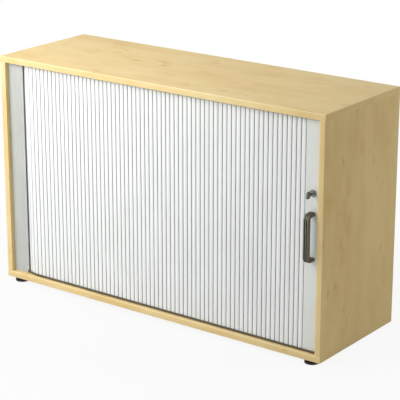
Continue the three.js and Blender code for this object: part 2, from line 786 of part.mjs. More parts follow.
const handleScrew = turned([
  [0, -SCREW_HEAD_HEIGHT],
  [SCREW_HEAD_RADIUS / 2, -SCREW_HEAD_HEIGHT],
  [SCREW_HEAD_RADIUS, -SCREW_HEAD_HEIGHT / 2],
  [SCREW_HEAD_RADIUS, 0],
  [SCREW_RADIUS, 0],
  [SCREW_RADIUS, SLAT_THICKNESS + SCREW_REACH],
  [0, SLAT_THICKNESS + SCREW_REACH],
], SMALL_ROUND_SIDES).rotateX(Math.PI / 2);
screwHeights.forEach((height, index) => {
  addPiece(`handle_screw_${index + 1}`, handleScrew, steel, [railMiddle, railBack, height]);
});

// Lock housing: a rosette on the rail, a barrel through it and a case behind it
const caseRight = railRight - RAIL_SIDE_GAP;
const rosette = turned([
  [0, 0],
  [ROSETTE_RADIUS, 0],
  [ROSETTE_RADIUS, ROSETTE_HEIGHT - ROSETTE_CHAMFER],
  [ROSETTE_RADIUS - ROSETTE_CHAMFER, ROSETTE_HEIGHT],
  [0, ROSETTE_HEIGHT],
], ROUND_SIDES).rotateX(Math.PI / 2).translate(railMiddle, railFront, lockHeight);
const barrel = barAlongY(BARREL_RADIUS, railFront - CUT_OVERRUN, railBack + CUT_OVERRUN, ROUND_SIDES)
  .translate(railMiddle, 0, lockHeight);
const lockCase = plate(
  roundedRectangle(
    railMiddle - CASE_LEFT,
    lockHeight - CASE_HEIGHT / 2,
    caseRight,
    lockHeight + CASE_HEIGHT / 2,
    CASE_ROUND,
  ),
  railBack,
  railBack + CASE_DEPTH,
);
const plugBore = barAlongY(
  PLUG_RADIUS + FIT_GAP,
  railFront - ROSETTE_HEIGHT - CUT_OVERRUN,
  plugBack + FIT_GAP,
  ROUND_SIDES,
).translate(railMiddle, 0, lockHeight);
const boltTail = boltTip - BOLT_LENGTH;
addPiece('lock_housing', cutBy(
  joined(rosette, barrel, lockCase),
  [plugBore, boltSlot(boltTail - FIT_GAP, caseRight + CUT_OVERRUN)],
), gunmetal);

// Plug with a keyway, turned by the key
const plugFront = railFront - ROSETTE_HEIGHT - PLUG_PROUD;
const bladeBack = plugFront + KEY_BLADE_DEPTH;
const keyway = block(
  [-KEY_BLADE_THICKNESS / 2 - FIT_GAP, plugFront - CUT_OVERRUN, -KEY_BLADE_HEIGHT / 2 - FIT_GAP],
  [KEY_BLADE_THICKNESS / 2 + FIT_GAP, bladeBack + FIT_GAP, KEY_BLADE_HEIGHT / 2 + FIT_GAP],
);
const plug = barAlongY(PLUG_RADIUS, plugFront, plugBack, ROUND_SIDES);
addPiece('lock_plug', cutBy(plug, [keyway]), steel, [railMiddle, 0, lockHeight]);

const keyFront = railFront - KEY_REACH;
const bowBack = keyFront + KEY_BOW_LENGTH;
const bowOutline = roundedRectangle(
  keyFront,
  -KEY_BOW_HEIGHT / 2,
  bowBack,
  KEY_BOW_HEIGHT / 2,
  KEY_BOW_ROUND,
);
bowOutline.holes = [
  new THREE.Path().absarc(keyFront + KEY_HOLE_INSET, 0, KEY_HOLE_RADIUS, 0, 2 * Math.PI, true),
];
const key = joined(
  slab(bowOutline, -KEY_BOW_THICKNESS / 2, KEY_BOW_THICKNESS / 2, CORNER_STEPS),
  block(
    [-KEY_BLADE_THICKNESS / 2, bowBack - CUT_OVERRUN, -KEY_BLADE_HEIGHT / 2],
    [KEY_BLADE_THICKNESS / 2, bladeBack, KEY_BLADE_HEIGHT / 2],
  ),
);
addPiece('key', key, gunmetal, [railMiddle, 0, lockHeight]);

// Bolt in the case, with a chamfered nose, and the strike plate that it enters
const boltHalf = BOLT_THICKNESS / 2;
const boltOutline = new THREE.Shape([
  at(boltTail, boltY - boltHalf),
  at(boltTip - BOLT_NOSE, boltY - boltHalf),
  at(boltTip, boltY - boltHalf + BOLT_NOSE),
  at(boltTip, boltY + boltHalf - BOLT_NOSE),
  at(boltTip - BOLT_NOSE, boltY + boltHalf),
  at(boltTail, boltY + boltHalf),
]);
addPiece('lock_bolt', prism(
  boltOutline,
  lockHeight - BOLT_HEIGHT / 2,
  lockHeight + BOLT_HEIGHT / 2,
), steel);

const strike = slab(
  roundedRectangle(strikeY[0], strikeZ[0], strikeY[1], strikeZ[1], STRIKE_ROUND),
  innerRight,
  innerRight + STRIKE_THICKNESS,
);
const strikeSlot = boltSlot(innerRight - CUT_OVERRUN, innerRight + STRIKE_THICKNESS + CUT_OVERRUN);
addPiece('strike_plate', cutBy(strike, [strikeSlot]), steel);

// Levelling feet: a glide on a threaded stem, screwed into a socket in the bottom panel
const glideTop = -SOCKET_FLANGE - FIT_GAP;
const stemFoot = STEM_SEAT_DEPTH - glideTop;
const footGlide = turned([
  [0, -FOOT_HEIGHT],
  [FOOT_RADIUS - FOOT_RIM_ROUND, -FOOT_HEIGHT],
  [FOOT_RADIUS, -FOOT_HEIGHT + FOOT_RIM_ROUND],
  [FOOT_RADIUS, -FOOT_HEIGHT + FOOT_RIM_HEIGHT - FOOT_RIM_ROUND],
  [FOOT_RADIUS - FOOT_RIM_ROUND, -FOOT_HEIGHT + FOOT_RIM_HEIGHT],
  [FOOT_TOP_RADIUS, glideTop],
  [STEM_RADIUS + FIT_GAP, glideTop],
  [STEM_RADIUS + FIT_GAP, -stemFoot],
  [0, -stemFoot],
], FOOT_SIDES);
const footStem = turned([
  [0, -stemFoot],
  [STEM_RADIUS, -stemFoot],
  [STEM_RADIUS, SOCKET_DEPTH - FIT_GAP],
  [0, SOCKET_DEPTH - FIT_GAP],
], ROUND_SIDES);
const footSocket = turned([
  [STEM_RADIUS + FIT_GAP, -SOCKET_FLANGE],
  [SOCKET_FLANGE_RADIUS, -SOCKET_FLANGE],
  [SOCKET_FLANGE_RADIUS, 0],
  [SOCKET_RADIUS, 0],
  [SOCKET_RADIUS, SOCKET_DEPTH],
  [STEM_RADIUS + FIT_GAP, SOCKET_DEPTH],
  [STEM_RADIUS + FIT_GAP, -SOCKET_FLANGE],
], ROUND_SIDES);
footPlaces.forEach((place, index) => {
  addPiece(`foot_socket_${index + 1}`, footSocket, blackPlastic, place);
  addPiece(`foot_stem_${index + 1}`, footStem, steel, place);
  addPiece(`foot_glide_${index + 1}`, footGlide, blackPlastic, place);
});

export default cabinet;
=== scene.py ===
import math

import bpy
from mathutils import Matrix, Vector


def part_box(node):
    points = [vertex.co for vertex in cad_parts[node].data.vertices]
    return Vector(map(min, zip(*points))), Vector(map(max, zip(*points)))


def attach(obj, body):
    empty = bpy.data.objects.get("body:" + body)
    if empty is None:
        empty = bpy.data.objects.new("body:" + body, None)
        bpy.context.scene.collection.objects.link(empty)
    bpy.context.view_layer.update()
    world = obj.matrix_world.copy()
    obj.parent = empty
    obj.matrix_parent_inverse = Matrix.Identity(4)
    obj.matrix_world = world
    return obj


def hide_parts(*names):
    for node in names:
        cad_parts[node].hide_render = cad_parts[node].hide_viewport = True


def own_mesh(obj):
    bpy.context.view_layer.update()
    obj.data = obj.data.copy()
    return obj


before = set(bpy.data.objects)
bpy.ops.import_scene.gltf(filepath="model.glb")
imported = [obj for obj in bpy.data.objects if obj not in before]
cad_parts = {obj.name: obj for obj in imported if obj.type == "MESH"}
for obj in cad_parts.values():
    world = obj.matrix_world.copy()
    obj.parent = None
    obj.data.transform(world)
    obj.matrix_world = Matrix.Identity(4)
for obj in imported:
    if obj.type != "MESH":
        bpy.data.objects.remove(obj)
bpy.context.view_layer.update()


# Camera: stands off the front right corner and looks down on the top, at the photograph's angle.
# The long lens, given for a square picture, keeps the uprights nearly parallel.
CAMERA_PLACE = Vector((2.8759, -3.8162, 1.8837))
CAMERA_AIM = Vector((0.0922, -0.0770, 0.3745))
CAMERA_LENS = 147.06
CAMERA_SENSOR = 36.0


def turned_to(place, aim):
    """The turn of a camera or lamp that stands at a place and faces an aim."""
    return (aim - place).to_track_quat("-Z", "Y").to_euler()


bpy.ops.object.select_all(action="DESELECT")
bpy.ops.object.camera_add(location=CAMERA_PLACE, rotation=turned_to(CAMERA_PLACE, CAMERA_AIM))
camera = bpy.context.active_object
camera.data.lens = CAMERA_LENS
camera.data.sensor_width = CAMERA_SENSOR
bpy.context.scene.camera = camera
bpy.context.scene.view_settings.view_transform = "Standard"


# Top and bottom panels: 19 mm chipboard faced with maple melamine, grain along the width.
# Each edge is closed by a 2 mm plastic edging with a rounded arris and a fine glue line beside it.
X, Y, Z = range(3)
EDGING = 0.002
GLUE_LINE = 0.00012
EDGE_ROUND = 0.0018
UNDER_ROUND = 0.0006
EDGE_ROUND_STEPS = 4
SMALL_ROUND_STEPS = 2
SMOOTH_ANGLE = 35
EDGED, GLUED, ARRIS, END_EDGED = range(1, 5)
ARRIS_SLOPES = (0.05, 0.98)
DECOR_TONE_PLACES = (0.0, 0.35, 0.6, 0.9)
DECOR_TONES = ("bd8840", "dbb977", "e8cd90", "f0dba6")
EDGING_TONES = ("c6934c", "e1be7e", "ead097", "f2e1ad")
# Lighter tones on the rounded arrises of the front and back edging: a painted highlight.
ARRIS_HIGHLIGHT_TONES = ("d6b37e", "ebd5a0", "f1e1b4", "f6eac5")
GLUE_TONES = ("a98553", "c6a26a")
GLUE_ROUGHNESS = 0.6
GLUE_MOTTLE_SCALE = 600.0
WIDE_FLECKS, TALL_FLECKS, EDGING_FLECKS, ARRIS_HIGHLIGHT_FLECKS = 0.3, 0.28, 0.2, 0.1
DECOR_SHEEN = 0.09
DECOR_ROUGHNESS = 0.42
EDGING_ROUGHNESS = 0.36
DECOR_GLOSS_SPREAD = (-0.05, 0.06)

# Patterns of the decor: scale, detail, roughness, share along the grain, and place.
CLOUDS = (9.0, 2.0, 0.55, 0.4)
STREAKS = (30.0, 3.0, 0.55, 0.06, (3.1, 1.7, 2.3))
FIBRES = (420.0, 3.0, 0.6, 0.02)
FLECKS = (44.0, 2.0, 0.55, 0.42, (0.4, 2.9, 1.1))
FLECK_GROUPS = (7.0, 1.0, 0.55, 0.7, (5.2, 0.6, 3.7))
BLOTCHES = (17.0, 1.5, 0.55, 0.5, (2.7, 4.1, 0.9))
PORES = (1500.0, 2.0, 0.55, 0.12)
PORE_BUMP = (0.00012, 0.5)

# Ranges of a pattern's values, and the shares of the tone that they become.
MOST_VALUES = (0.3, 0.7)
WIDE_VALUES = (0.25, 0.75)
CLOUD_SHARES = (0.23, 0.43)
STREAK_SHARES = (0.175, 0.255)
FIBRE_SHARES = (0.02, 0.1)
FLECK_VALUES = (0.54, 0.76)
GROUP_VALUES = (0.46, 0.62)
GROUP_SHARES = (0.1, 1.0)
BLOTCH_VALUES = (0.54, 0.74)
FLECK_TO_BLOTCH = 3


def colour(code):
    """A hexadecimal display colour as the linear red, green, blue and alpha of a shader socket."""
    shares = [int(code[start:start + 2], 16) / 255 for start in (0, 2, 4)]
    linear = [s / 12.92 if s <= 0.04045 else ((s + 0.055) / 1.055) ** 2.4 for s in shares]
    return (*linear, 1.0)


def new_material(name, **values):
    """A material with its principled shader, whose sockets take the given values."""
    material = bpy.data.materials.new(name)
    material.use_nodes = True
    shader = material.node_tree.nodes["Principled BSDF"]
    for socket, value in values.items():
        shader.inputs[socket.capitalize()].default_value = value
    return material, material.node_tree, shader


def pattern_space(tree, stretch=(1, 1, 1), place=(0, 0, 0)):
    """Object coordinates, stretched so that a pattern runs long where the share is small."""
    source = tree.nodes.new("ShaderNodeTexCoord")
    mapping = tree.nodes.new("ShaderNodeMapping")
    mapping.inputs["Scale"].default_value = stretch
    mapping.inputs["Location"].default_value = place
    tree.links.new(source.outputs["Object"], mapping.inputs["Vector"])
    return mapping.outputs["Vector"]


def noise(tree, axis, scale, detail=3.0, roughness=0.55, share=1.0, place=(0, 0, 0)):
    """The value of a noise texture, from 0 to 1, that runs long along the axis with the share."""
    stretch = tuple(share if index == axis else 1.0 for index in (X, Y, Z))
    texture = tree.nodes.new("ShaderNodeTexNoise")
    texture.inputs["Scale"].default_value = scale
    texture.inputs["Detail"].default_value = detail
    texture.inputs["Roughness"].default_value = roughness
    tree.links.new(pattern_space(tree, stretch, place), texture.inputs["Vector"])
    return texture.outputs["Fac"]


def ranged(tree, value, old_range, new_range, eased=False):
    """Moves a value from one range to another and clamps it there."""
    node = tree.nodes.new("ShaderNodeMapRange")
    if eased:
        node.interpolation_type = "SMOOTHSTEP"
    sockets = ("From Min", "From Max", "To Min", "To Max")
    for socket, number in zip(sockets, (*old_range, *new_range)):
        node.inputs[socket].default_value = number
    tree.links.new(value, node.inputs["Value"])
    return node.outputs["Result"]


def combined(tree, operation, first, second=0):
    """Two values, or a value and a number, joined by a sum, product or the like."""
    node = tree.nodes.new("ShaderNodeMath")
    node.operation = operation
    for socket, value in zip(node.inputs, (first, second)):
        if isinstance(value, (int, float)):
            socket.default_value = value
        else:
            tree.links.new(value, socket)
    return node.outputs["Value"]


def coloured(tree, shader, value, places, codes):
    """Gives a shader its base colour: a ramp of display colours at places along a value."""
    ramp = tree.nodes.new("ShaderNodeValToRGB")
    elements = ramp.color_ramp.elements
    while len(elements) < len(codes):
        elements.new(0.5)
    for element, place, code in zip(elements, places, codes):
        element.position = place
        element.color = colour(code)
    tree.links.new(value, ramp.inputs["Fac"])
    tree.links.new(ramp.outputs["Color"], shader.inputs["Base Color"])


def glossed(tree, shader, value, roughness, spread, old_range=MOST_VALUES):
    """Lets a shader's roughness vary with a value, by the spread below and above its middle."""
    new_range = (roughness + spread[0], roughness + spread[1])
    tree.links.new(ranged(tree, value, old_range, new_range), shader.inputs["Roughness"])


def bumped(tree, shader, height, distance, strength):
    """Gives a shader a bump of that depth in metres."""
    bump = tree.nodes.new("ShaderNodeBump")
    bump.inputs["Strength"].default_value = strength
    bump.inputs["Distance"].default_value = distance
    tree.links.new(height, bump.inputs["Height"])
    tree.links.new(bump.outputs["Normal"], shader.inputs["Normal"])


def maple(name, grain, tones, fleck_depth, roughness=DECOR_ROUGHNESS):
    """Maple decor along the grain's axis: soft clouds and streaks, faint fibres, and small darker
    flecks in groups, with wider and fainter blotches between them."""
    material, tree, shader = new_material(name)
    shader.inputs["Specular IOR Level"].default_value = DECOR_SHEEN
    clouds, streaks, fibres, flecks, groups, blotches, pores = (
        noise(tree, grain, *pattern)
        for pattern in (CLOUDS, STREAKS, FIBRES, FLECKS, FLECK_GROUPS, BLOTCHES, PORES)
    )
    blotch_shares = (0.0, fleck_depth / FLECK_TO_BLOTCH)
    spots = combined(
        tree,
        "MULTIPLY",
        ranged(tree, flecks, FLECK_VALUES, (0.0, fleck_depth), True),
        ranged(tree, groups, GROUP_VALUES, GROUP_SHARES, True),
    )
    tone = ranged(tree, clouds, MOST_VALUES, CLOUD_SHARES)
    tone = combined(tree, "ADD", tone, ranged(tree, streaks, MOST_VALUES, STREAK_SHARES))
    tone = combined(tree, "ADD", tone, ranged(tree, fibres, WIDE_VALUES, FIBRE_SHARES))
    blotched = ranged(tree, blotches, BLOTCH_VALUES, blotch_shares, True)
    tone = combined(tree, "SUBTRACT", tone, blotched)
    tone = combined(tree, "SUBTRACT", tone, spots)
    coloured(tree, shader, tone, DECOR_TONE_PLACES, tones)
    glossed(tree, shader, fibres, roughness, DECOR_GLOSS_SPREAD)
    bumped(tree, shader, combined(tree, "ADD", pores, fibres), *PORE_BUMP)
    return material


maple_wide = maple("maple_decor_along_width", X, DECOR_TONES, WIDE_FLECKS)
maple_tall = maple("maple_decor_upright", Z, DECOR_TONES, TALL_FLECKS)
edging_wide = maple("maple_edging_along_width", X, EDGING_TONES, EDGING_FLECKS, EDGING_ROUGHNESS)
edging_tall = maple("maple_edging_upright", Z, EDGING_TONES, EDGING_FLECKS, EDGING_ROUGHNESS)
edging_deep = maple("maple_edging_along_depth", Y, DECOR_TONES, EDGING_FLECKS)
# The arris materials carry the painted highlight of the edging's rounded arrises.
arris_highlight_wide = maple("maple_arris_highlight_along_width", X, ARRIS_HIGHLIGHT_TONES, ARRIS_HIGHLIGHT_FLECKS, EDGING_ROUGHNESS)
arris_highlight_tall = maple("maple_arris_highlight_upright", Z, ARRIS_HIGHLIGHT_TONES, ARRIS_HIGHLIGHT_FLECKS, EDGING_ROUGHNESS)
glue, glue_tree, glue_shader = new_material("edging_glue_line", roughness=GLUE_ROUGHNESS)
glue_mottle = noise(glue_tree, None, GLUE_MOTTLE_SCALE)
coloured(glue_tree, glue_shader, glue_mottle, MOST_VALUES, GLUE_TONES)
finish_wide = (maple_wide, edging_wide, glue, arris_highlight_wide, edging_deep)
finish_tall = (maple_tall, edging_tall, glue, arris_highlight_tall, edging_deep)


def settled(name, size=(1, 1, 1)):
    """Names the active object, gives it its size and settles its place in its mesh."""
    piece = bpy.context.active_object
    piece.name = name
    piece.data.name = name
    piece.scale = size
    bpy.ops.object.transform_apply(location=True, rotation=True, scale=True)
    return piece


def block(name, low, high):
    """A cube primitive stretched to fill the box between two corners."""
    bpy.ops.object.select_all(action="DESELECT")
    bpy.ops.mesh.primitive_cube_add(size=1, location=(Vector(low) + Vector(high)) / 2)
    return settled(name, Vector(high) - Vector(low))


def make_active(piece):
    """Makes a piece the active object and the only one selected."""
    bpy.ops.object.select_all(action="DESELECT")
    piece.select_set(True)
    bpy.context.view_layer.objects.active = piece


def select_parts(piece, kind, wanted=lambda middle, direction: True):
    """Enters edit mode with only the points, edges or faces selected that pass the test.

    The test gets a part's middle and its direction: the run of an edge, else the normal."""
    make_active(piece)
    bpy.ops.object.mode_set(mode="EDIT")
    bpy.ops.mesh.select_mode(type=kind)
    bpy.ops.mesh.select_all(action="DESELECT")
    bpy.ops.object.mode_set(mode="OBJECT")
    mesh = piece.data
    if kind == "VERT":
        for point in mesh.vertices:
            point.select = bool(wanted(point.co, point.normal))
    elif kind == "EDGE":
        for edge in mesh.edges:
            start, end = (mesh.vertices[index].co for index in edge.vertices)
            edge.select = bool(wanted((start + end) / 2, (end - start).normalized()))
    else:
        for face in mesh.polygons:
            face.select = bool(wanted(face.center, face.normal))
    bpy.ops.object.mode_set(mode="EDIT")


def leave_edit():
    """Ends an edit, with the piece still active."""
    bpy.ops.object.mode_set(mode="OBJECT")


def bisected(piece, axis, places):
    """Cuts new edges round a piece where planes square to an axis cross it."""
    normal = tuple(1.0 if index == axis else 0.0 for index in (X, Y, Z))
    for place in places:
        select_parts(piece, "FACE")
        point = tuple(place if index == axis else 0.0 for index in (X, Y, Z))
        bpy.ops.mesh.bisect(plane_co=point, plane_no=normal)
        leave_edit()


def bevelled(piece, kind, wanted, offset, steps=SMALL_ROUND_STEPS):
    """Rounds the edges, the faces' edges or the outline's corners that pass the test."""
    select_parts(piece, kind, wanted)
    affected = "VERTICES" if kind == "VERT" else "EDGES"
    bpy.ops.mesh.bevel(offset=offset, segments=steps, affect=affected)
    leave_edit()


def smooth(piece, angle=SMOOTH_ANGLE):
    """Shades a piece smooth, apart from edges sharper than the angle."""
    make_active(piece)
    bpy.ops.object.shade_smooth_by_angle(angle=math.radians(angle))


def use_materials(piece, *materials):
    """Gives a piece its material slots."""
    piece.data.materials.clear()
    for material in materials:
        piece.data.materials.append(material)


def edged_board(name, node, sides, finish, joint_end=None):
    """A faced board over a node's box, with edging on the sides listed as (axis, end).

    Every arris of the edging is rounded, but not where the board's ends lie on the side panels."""
    low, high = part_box(node)
    thin = min((X, Y, Z), key=lambda axis: high[axis] - low[axis])
    piece = block(name, low, high)

    def depth(point, axis, end):
        return abs(point[axis] - (low, high)[end][axis])

    for axis, end in sides:
        face = (low, high)[end][axis]
        inwards = 1 if end == 0 else -1
        bisected(piece, axis, (face + inwards * EDGING, face + inwards * (EDGING + GLUE_LINE)))

    for face_end, radius in ((0, UNDER_ROUND if thin == Z else EDGE_ROUND), (1, EDGE_ROUND)):

        def arris(middle, run):
            on_side = [axis for axis, end in sides if depth(middle, axis, end) < GLUE_LINE / 2]
            on_face = depth(middle, thin, face_end) < GLUE_LINE / 2
            return on_face and bool(on_side) and not (joint_end == face_end and X in on_side)

        bevelled(piece, "EDGE", arris, radius, EDGE_ROUND_STEPS)
    use_materials(piece, *finish)
    for face in piece.data.polygons:
        reach, axis = min((depth(face.center, axis, end), axis) for axis, end in sides)
        if reach < EDGING and axis == X:
            face.material_index = END_EDGED
        elif reach < EDGING:
            # Arris faces of the front and back edging take the lighter arris tone, a painted
            # highlight; the end edging has none.
            slopes = ARRIS_SLOPES[0] < abs(face.normal[thin]) < ARRIS_SLOPES[1]
            face.material_index = ARRIS if slopes else EDGED
        elif reach < EDGING + GLUE_LINE:
            face.material_index = GLUED
    smooth(piece)
    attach(piece, "cabinet")
    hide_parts(node)
    return piece


def cut(piece, cutter, operation="DIFFERENCE"):
    """Cuts a piece with another mesh, or joins the two, and removes the other."""
    modifier = piece.modifiers.new(operation.lower(), "BOOLEAN")
    modifier.operation = operation
    modifier.solver = "EXACT"
    modifier.object = cutter
    bpy.context.view_layer.objects.active = piece
    bpy.ops.object.modifier_apply(modifier=modifier.name)
    bpy.data.objects.remove(cutter)


def cylinder(name, radius, low, high, axis, sides):
    """A cylinder primitive between two points that differ along one axis."""
    turn = {X: (0, math.pi / 2, 0), Y: (math.pi / 2, 0, 0), Z: (0, 0, 0)}[axis]
    bpy.ops.object.select_all(action="DESELECT")
    bpy.ops.mesh.primitive_cylinder_add(
        vertices=sides,
        radius=radius,
        depth=abs(high[axis] - low[axis]),
        location=(Vector(low) + Vector(high)) / 2,
        rotation=turn,
    )
    return settled(name)


def middle_of(node):
    """The middle of a node's box."""
    low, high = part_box(node)
    return (low + high) / 2


ALL_SIDES = ((Y, 0), (Y, 1), (X, 0), (X, 1))
SOCKET_HOLE_RADIUS = 0.0083
SOCKET_HOLE_SIDES = 32
HOLE_OVERRUN = 0.001
edged_board("top_board", "top_panel", ALL_SIDES, finish_wide, 0)
bottom_board = edged_board("bottom_board", "bottom_panel", ALL_SIDES, finish_wide, 1)
for number in range(1, 5):
    socket_low, socket_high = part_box(f"foot_socket_{number}")
    middle = middle_of(f"foot_socket_{number}")
    mouth = (middle.x, middle.y, socket_low.z - HOLE_OVERRUN)
    bottom = (middle.x, middle.y, socket_high.z)
    hole = cylinder("socket_hole", SOCKET_HOLE_RADIUS, mouth, bottom, Z, SOCKET_HOLE_SIDES)
    cut(bottom_board, hole)


# Side panels: the same faced board with its grain upright, edged along the front only.
# The right one has two rows of blind holes for shelf pins, and the recess of the strike plate.
FRONT_SIDE = ((Y, 0),)
PIN_HOLE_RADIUS = 0.0028
PIN_HOLE_SIDES = 20
PIN_HOLE_DEPTH = 0.009
PIN_HOLE_PITCH = 0.032
PIN_HOLES_EACH_WAY = 2
FIT_GAP = 0.0003
SAME_PLACE = 0.00001
ALONG = 0.999
STRIKE_CORNER = 0.003
CORNER_STEPS = 4
MORTISE_DEPTH = 0.008


def is_near(value, wanted):
    """True for lengths that agree to a hundredth of a millimetre."""
    return abs(value - wanted) < SAME_PLACE


def rounded(piece, axis, radius, steps=CORNER_STEPS):
    """Rounds the edges of a piece that run along an axis."""
    bevelled(piece, "EDGE", lambda middle, run: abs(run[axis]) > ALONG, radius, steps)


edged_board("left_side_board", "left_side", FRONT_SIDE, finish_tall)
right_board = edged_board("right_side_board", "right_side", FRONT_SIDE, finish_tall)
inner_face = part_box("right_side")[0].x
for pin in ("shelf_pin_3", "shelf_pin_4"):
    middle = middle_of(pin)
    for step in range(-PIN_HOLES_EACH_WAY, PIN_HOLES_EACH_WAY + 1):
        height = middle.z + step * PIN_HOLE_PITCH
        mouth = (inner_face - HOLE_OVERRUN, middle.y, height)
        bottom = (inner_face + PIN_HOLE_DEPTH, middle.y, height)
        cut(right_board, cylinder("pin_hole", PIN_HOLE_RADIUS, mouth, bottom, X, PIN_HOLE_SIDES))
strike_low, strike_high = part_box("strike_plate")
gap_around = Vector((0, FIT_GAP, FIT_GAP))
overrun = Vector((HOLE_OVERRUN, 0, 0))
recess = block("strike_recess", strike_low - gap_around - overrun, strike_high + gap_around)
rounded(recess, X, STRIKE_CORNER + FIT_GAP)
cut(right_board, recess)
bolt_low, bolt_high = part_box("lock_bolt")
bolt_slot_low = bolt_low - gap_around
bolt_slot_high = bolt_high + gap_around
bolt_slot_low.x = inner_face - HOLE_OVERRUN
bolt_slot_high.x = bolt_high.x + MORTISE_DEPTH + HOLE_OVERRUN
cut(right_board, block("bolt_mortise", bolt_slot_low, bolt_slot_high))
smooth(right_board)


# Back and inner panels: a thin faced back let in between the sides, and a double wall inside it.
# The inner left panel, in maple, and the thin inner back, in light grey lacquer, keep the
# contents off the curtain that is stored behind them.
MOULDED_DETAIL = 2.0
MOULDED_ROUGHNESS = 0.6
MOULDED_CLOUDS = (45.0, 2.0, 0.55, 1.0, (1.3, 2.2, 0.7))
MOULDED_TONE_PLACES = (0.32, 0.68)
MOULDED_GLOSS_SPREAD = (-0.06, 0.1)
MOULDED_BUMP = (0.00006, 0.5)


def dressed(node, material):
    """Gives a node of the construction that keeps its own shape a finished material."""
    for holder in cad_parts[node].material_slots:
        holder.material = material


def mean(tree, first, second):
    """The mean of two patterns."""
    return combined(tree, "MULTIPLY", combined(tree, "ADD", first, second), 0.5)


def plastic(name, base, light, roughness, grain):
    """Moulded plastic or lacquer with a fine grain, faint cloudiness and uneven gloss."""
    material, tree, shader = new_material(name)
    grains = noise(tree, None, grain, MOULDED_DETAIL, MOULDED_ROUGHNESS)
    tone = mean(tree, grains, noise(tree, None, *MOULDED_CLOUDS))
    coloured(tree, shader, tone, MOULDED_TONE_PLACES, (base, light))
    glossed(tree, shader, tone, roughness, MOULDED_GLOSS_SPREAD)
    bumped(tree, shader, grains, *MOULDED_BUMP)
    return material


grey_lacquer = plastic("light_grey_lacquer", "d4d3cf", "dad9d5", roughness=0.5, grain=500.0)
dressed("back_panel", maple_tall)
dressed("inner_left_panel", maple_tall)
dressed("inner_back_panel", grey_lacquer)


# Shelf: a faced board with an edged front, laid on four steel pins that stand in the rows of holes.
# Each pin has a flat pad, so that it carries the board on its top.
SCRATCHES = (1400.0, 2.0, 0.6, 0.02)
METAL_CLOUDS = (60.0, 2.0, 0.55, 1.0, (2.1, 0.3, 1.7))
METAL_TONE_PLACES = (0.3, 0.62)
METAL_GLOSS_SPREAD = (-0.06, 0.08)
METAL_BUMP = (0.00003, 0.4)


def metal(name, base, dark, roughness, scratch_axis):
    """Brushed or plated metal with fine scratches along an axis and slightly uneven gloss."""
    material, tree, shader = new_material(name, metallic=1.0)
    scratches = noise(tree, scratch_axis, *SCRATCHES)
    tone = mean(tree, scratches, noise(tree, None, *METAL_CLOUDS))
    coloured(tree, shader, tone, METAL_TONE_PLACES, (dark, base))
    glossed(tree, shader, tone, roughness, METAL_GLOSS_SPREAD)
    bumped(tree, shader, scratches, *METAL_BUMP)
    return material


steel = metal("zinc_plated_steel", "c2c4c4", "a3a5a6", roughness=0.34, scratch_axis=Y)
edged_board("shelf_board", "shelf", FRONT_SIDE, finish_wide)
for number in range(1, 5):
    dressed(f"shelf_pin_{number}", steel)


# Feet: four moulded glides, each on a threaded stem that turns in a plastic socket in the bottom.
# A glide is a disc with finger grips round its rim, from which a neck slopes up to the stem.
FOOT_SIDES = 40
FOOT_RIM_HEIGHT = 0.006
FOOT_RIM_STEP = 0.0018
FOOT_TOP_RADIUS = 0.013
GRIP_INSET = 0.0007
GRIP_DEPTH = 0.0005
STEM_HOLE_RADIUS = 0.0043
STEM_HOLE_SIDES = 24
THREAD_PITCH = 0.00125
THREAD_DISTORTION = 0.4
# The thread is painted darker in its grooves, where the bump is lowest: painted shade.
THREAD_TONE_PLACES = (0.2, 0.8)
THREAD_GROOVE_SHADE_TONES = ("6c6d6c", "c6c7c5")
THREAD_ROUGHNESS = 0.5
THREAD_GLOSS_SPREAD = (0.0, -0.2)
THREAD_BUMP = (0.0004, 0.8)
WAVE_TEXTURE_RATE = 20
FACING = 0.9
ACROSS = 0.01


def copied(piece, name, shift, turn=0.0):
    """A twin with its own mesh, turned about the upright and moved, and settled there."""
    twin = piece.copy()
    twin.data = piece.data.copy()
    bpy.context.collection.objects.link(twin)
    twin.location = shift
    twin.rotation_euler = (0, 0, turn)
    make_active(twin)
    return settled(name)


def extruded(shift):
    """Extrudes what is selected in edit mode."""
    bpy.ops.mesh.extrude_region_move(TRANSFORM_OT_translate={"value": shift})


black_plastic = plastic("black_foot_plastic", "0b0b0c", "181819", roughness=0.5, grain=900.0)
thread, thread_tree, thread_shader = new_material("threaded_steel", metallic=1.0)
wave = thread_tree.nodes.new("ShaderNodeTexWave")
wave.bands_direction = "Z"
wave.inputs["Scale"].default_value = math.tau / (WAVE_TEXTURE_RATE * THREAD_PITCH)
wave.inputs["Distortion"].default_value = THREAD_DISTORTION
thread_tree.links.new(pattern_space(thread_tree), wave.inputs["Vector"])
turns = wave.outputs["Fac"]
# Darker where the bump is low: painted shade in the thread's grooves.
coloured(thread_tree, thread_shader, turns, THREAD_TONE_PLACES, THREAD_GROOVE_SHADE_TONES)
glossed(thread_tree, thread_shader, turns, THREAD_ROUGHNESS, THREAD_GLOSS_SPREAD, (0.0, 1.0))
bumped(thread_tree, thread_shader, turns, *THREAD_BUMP)

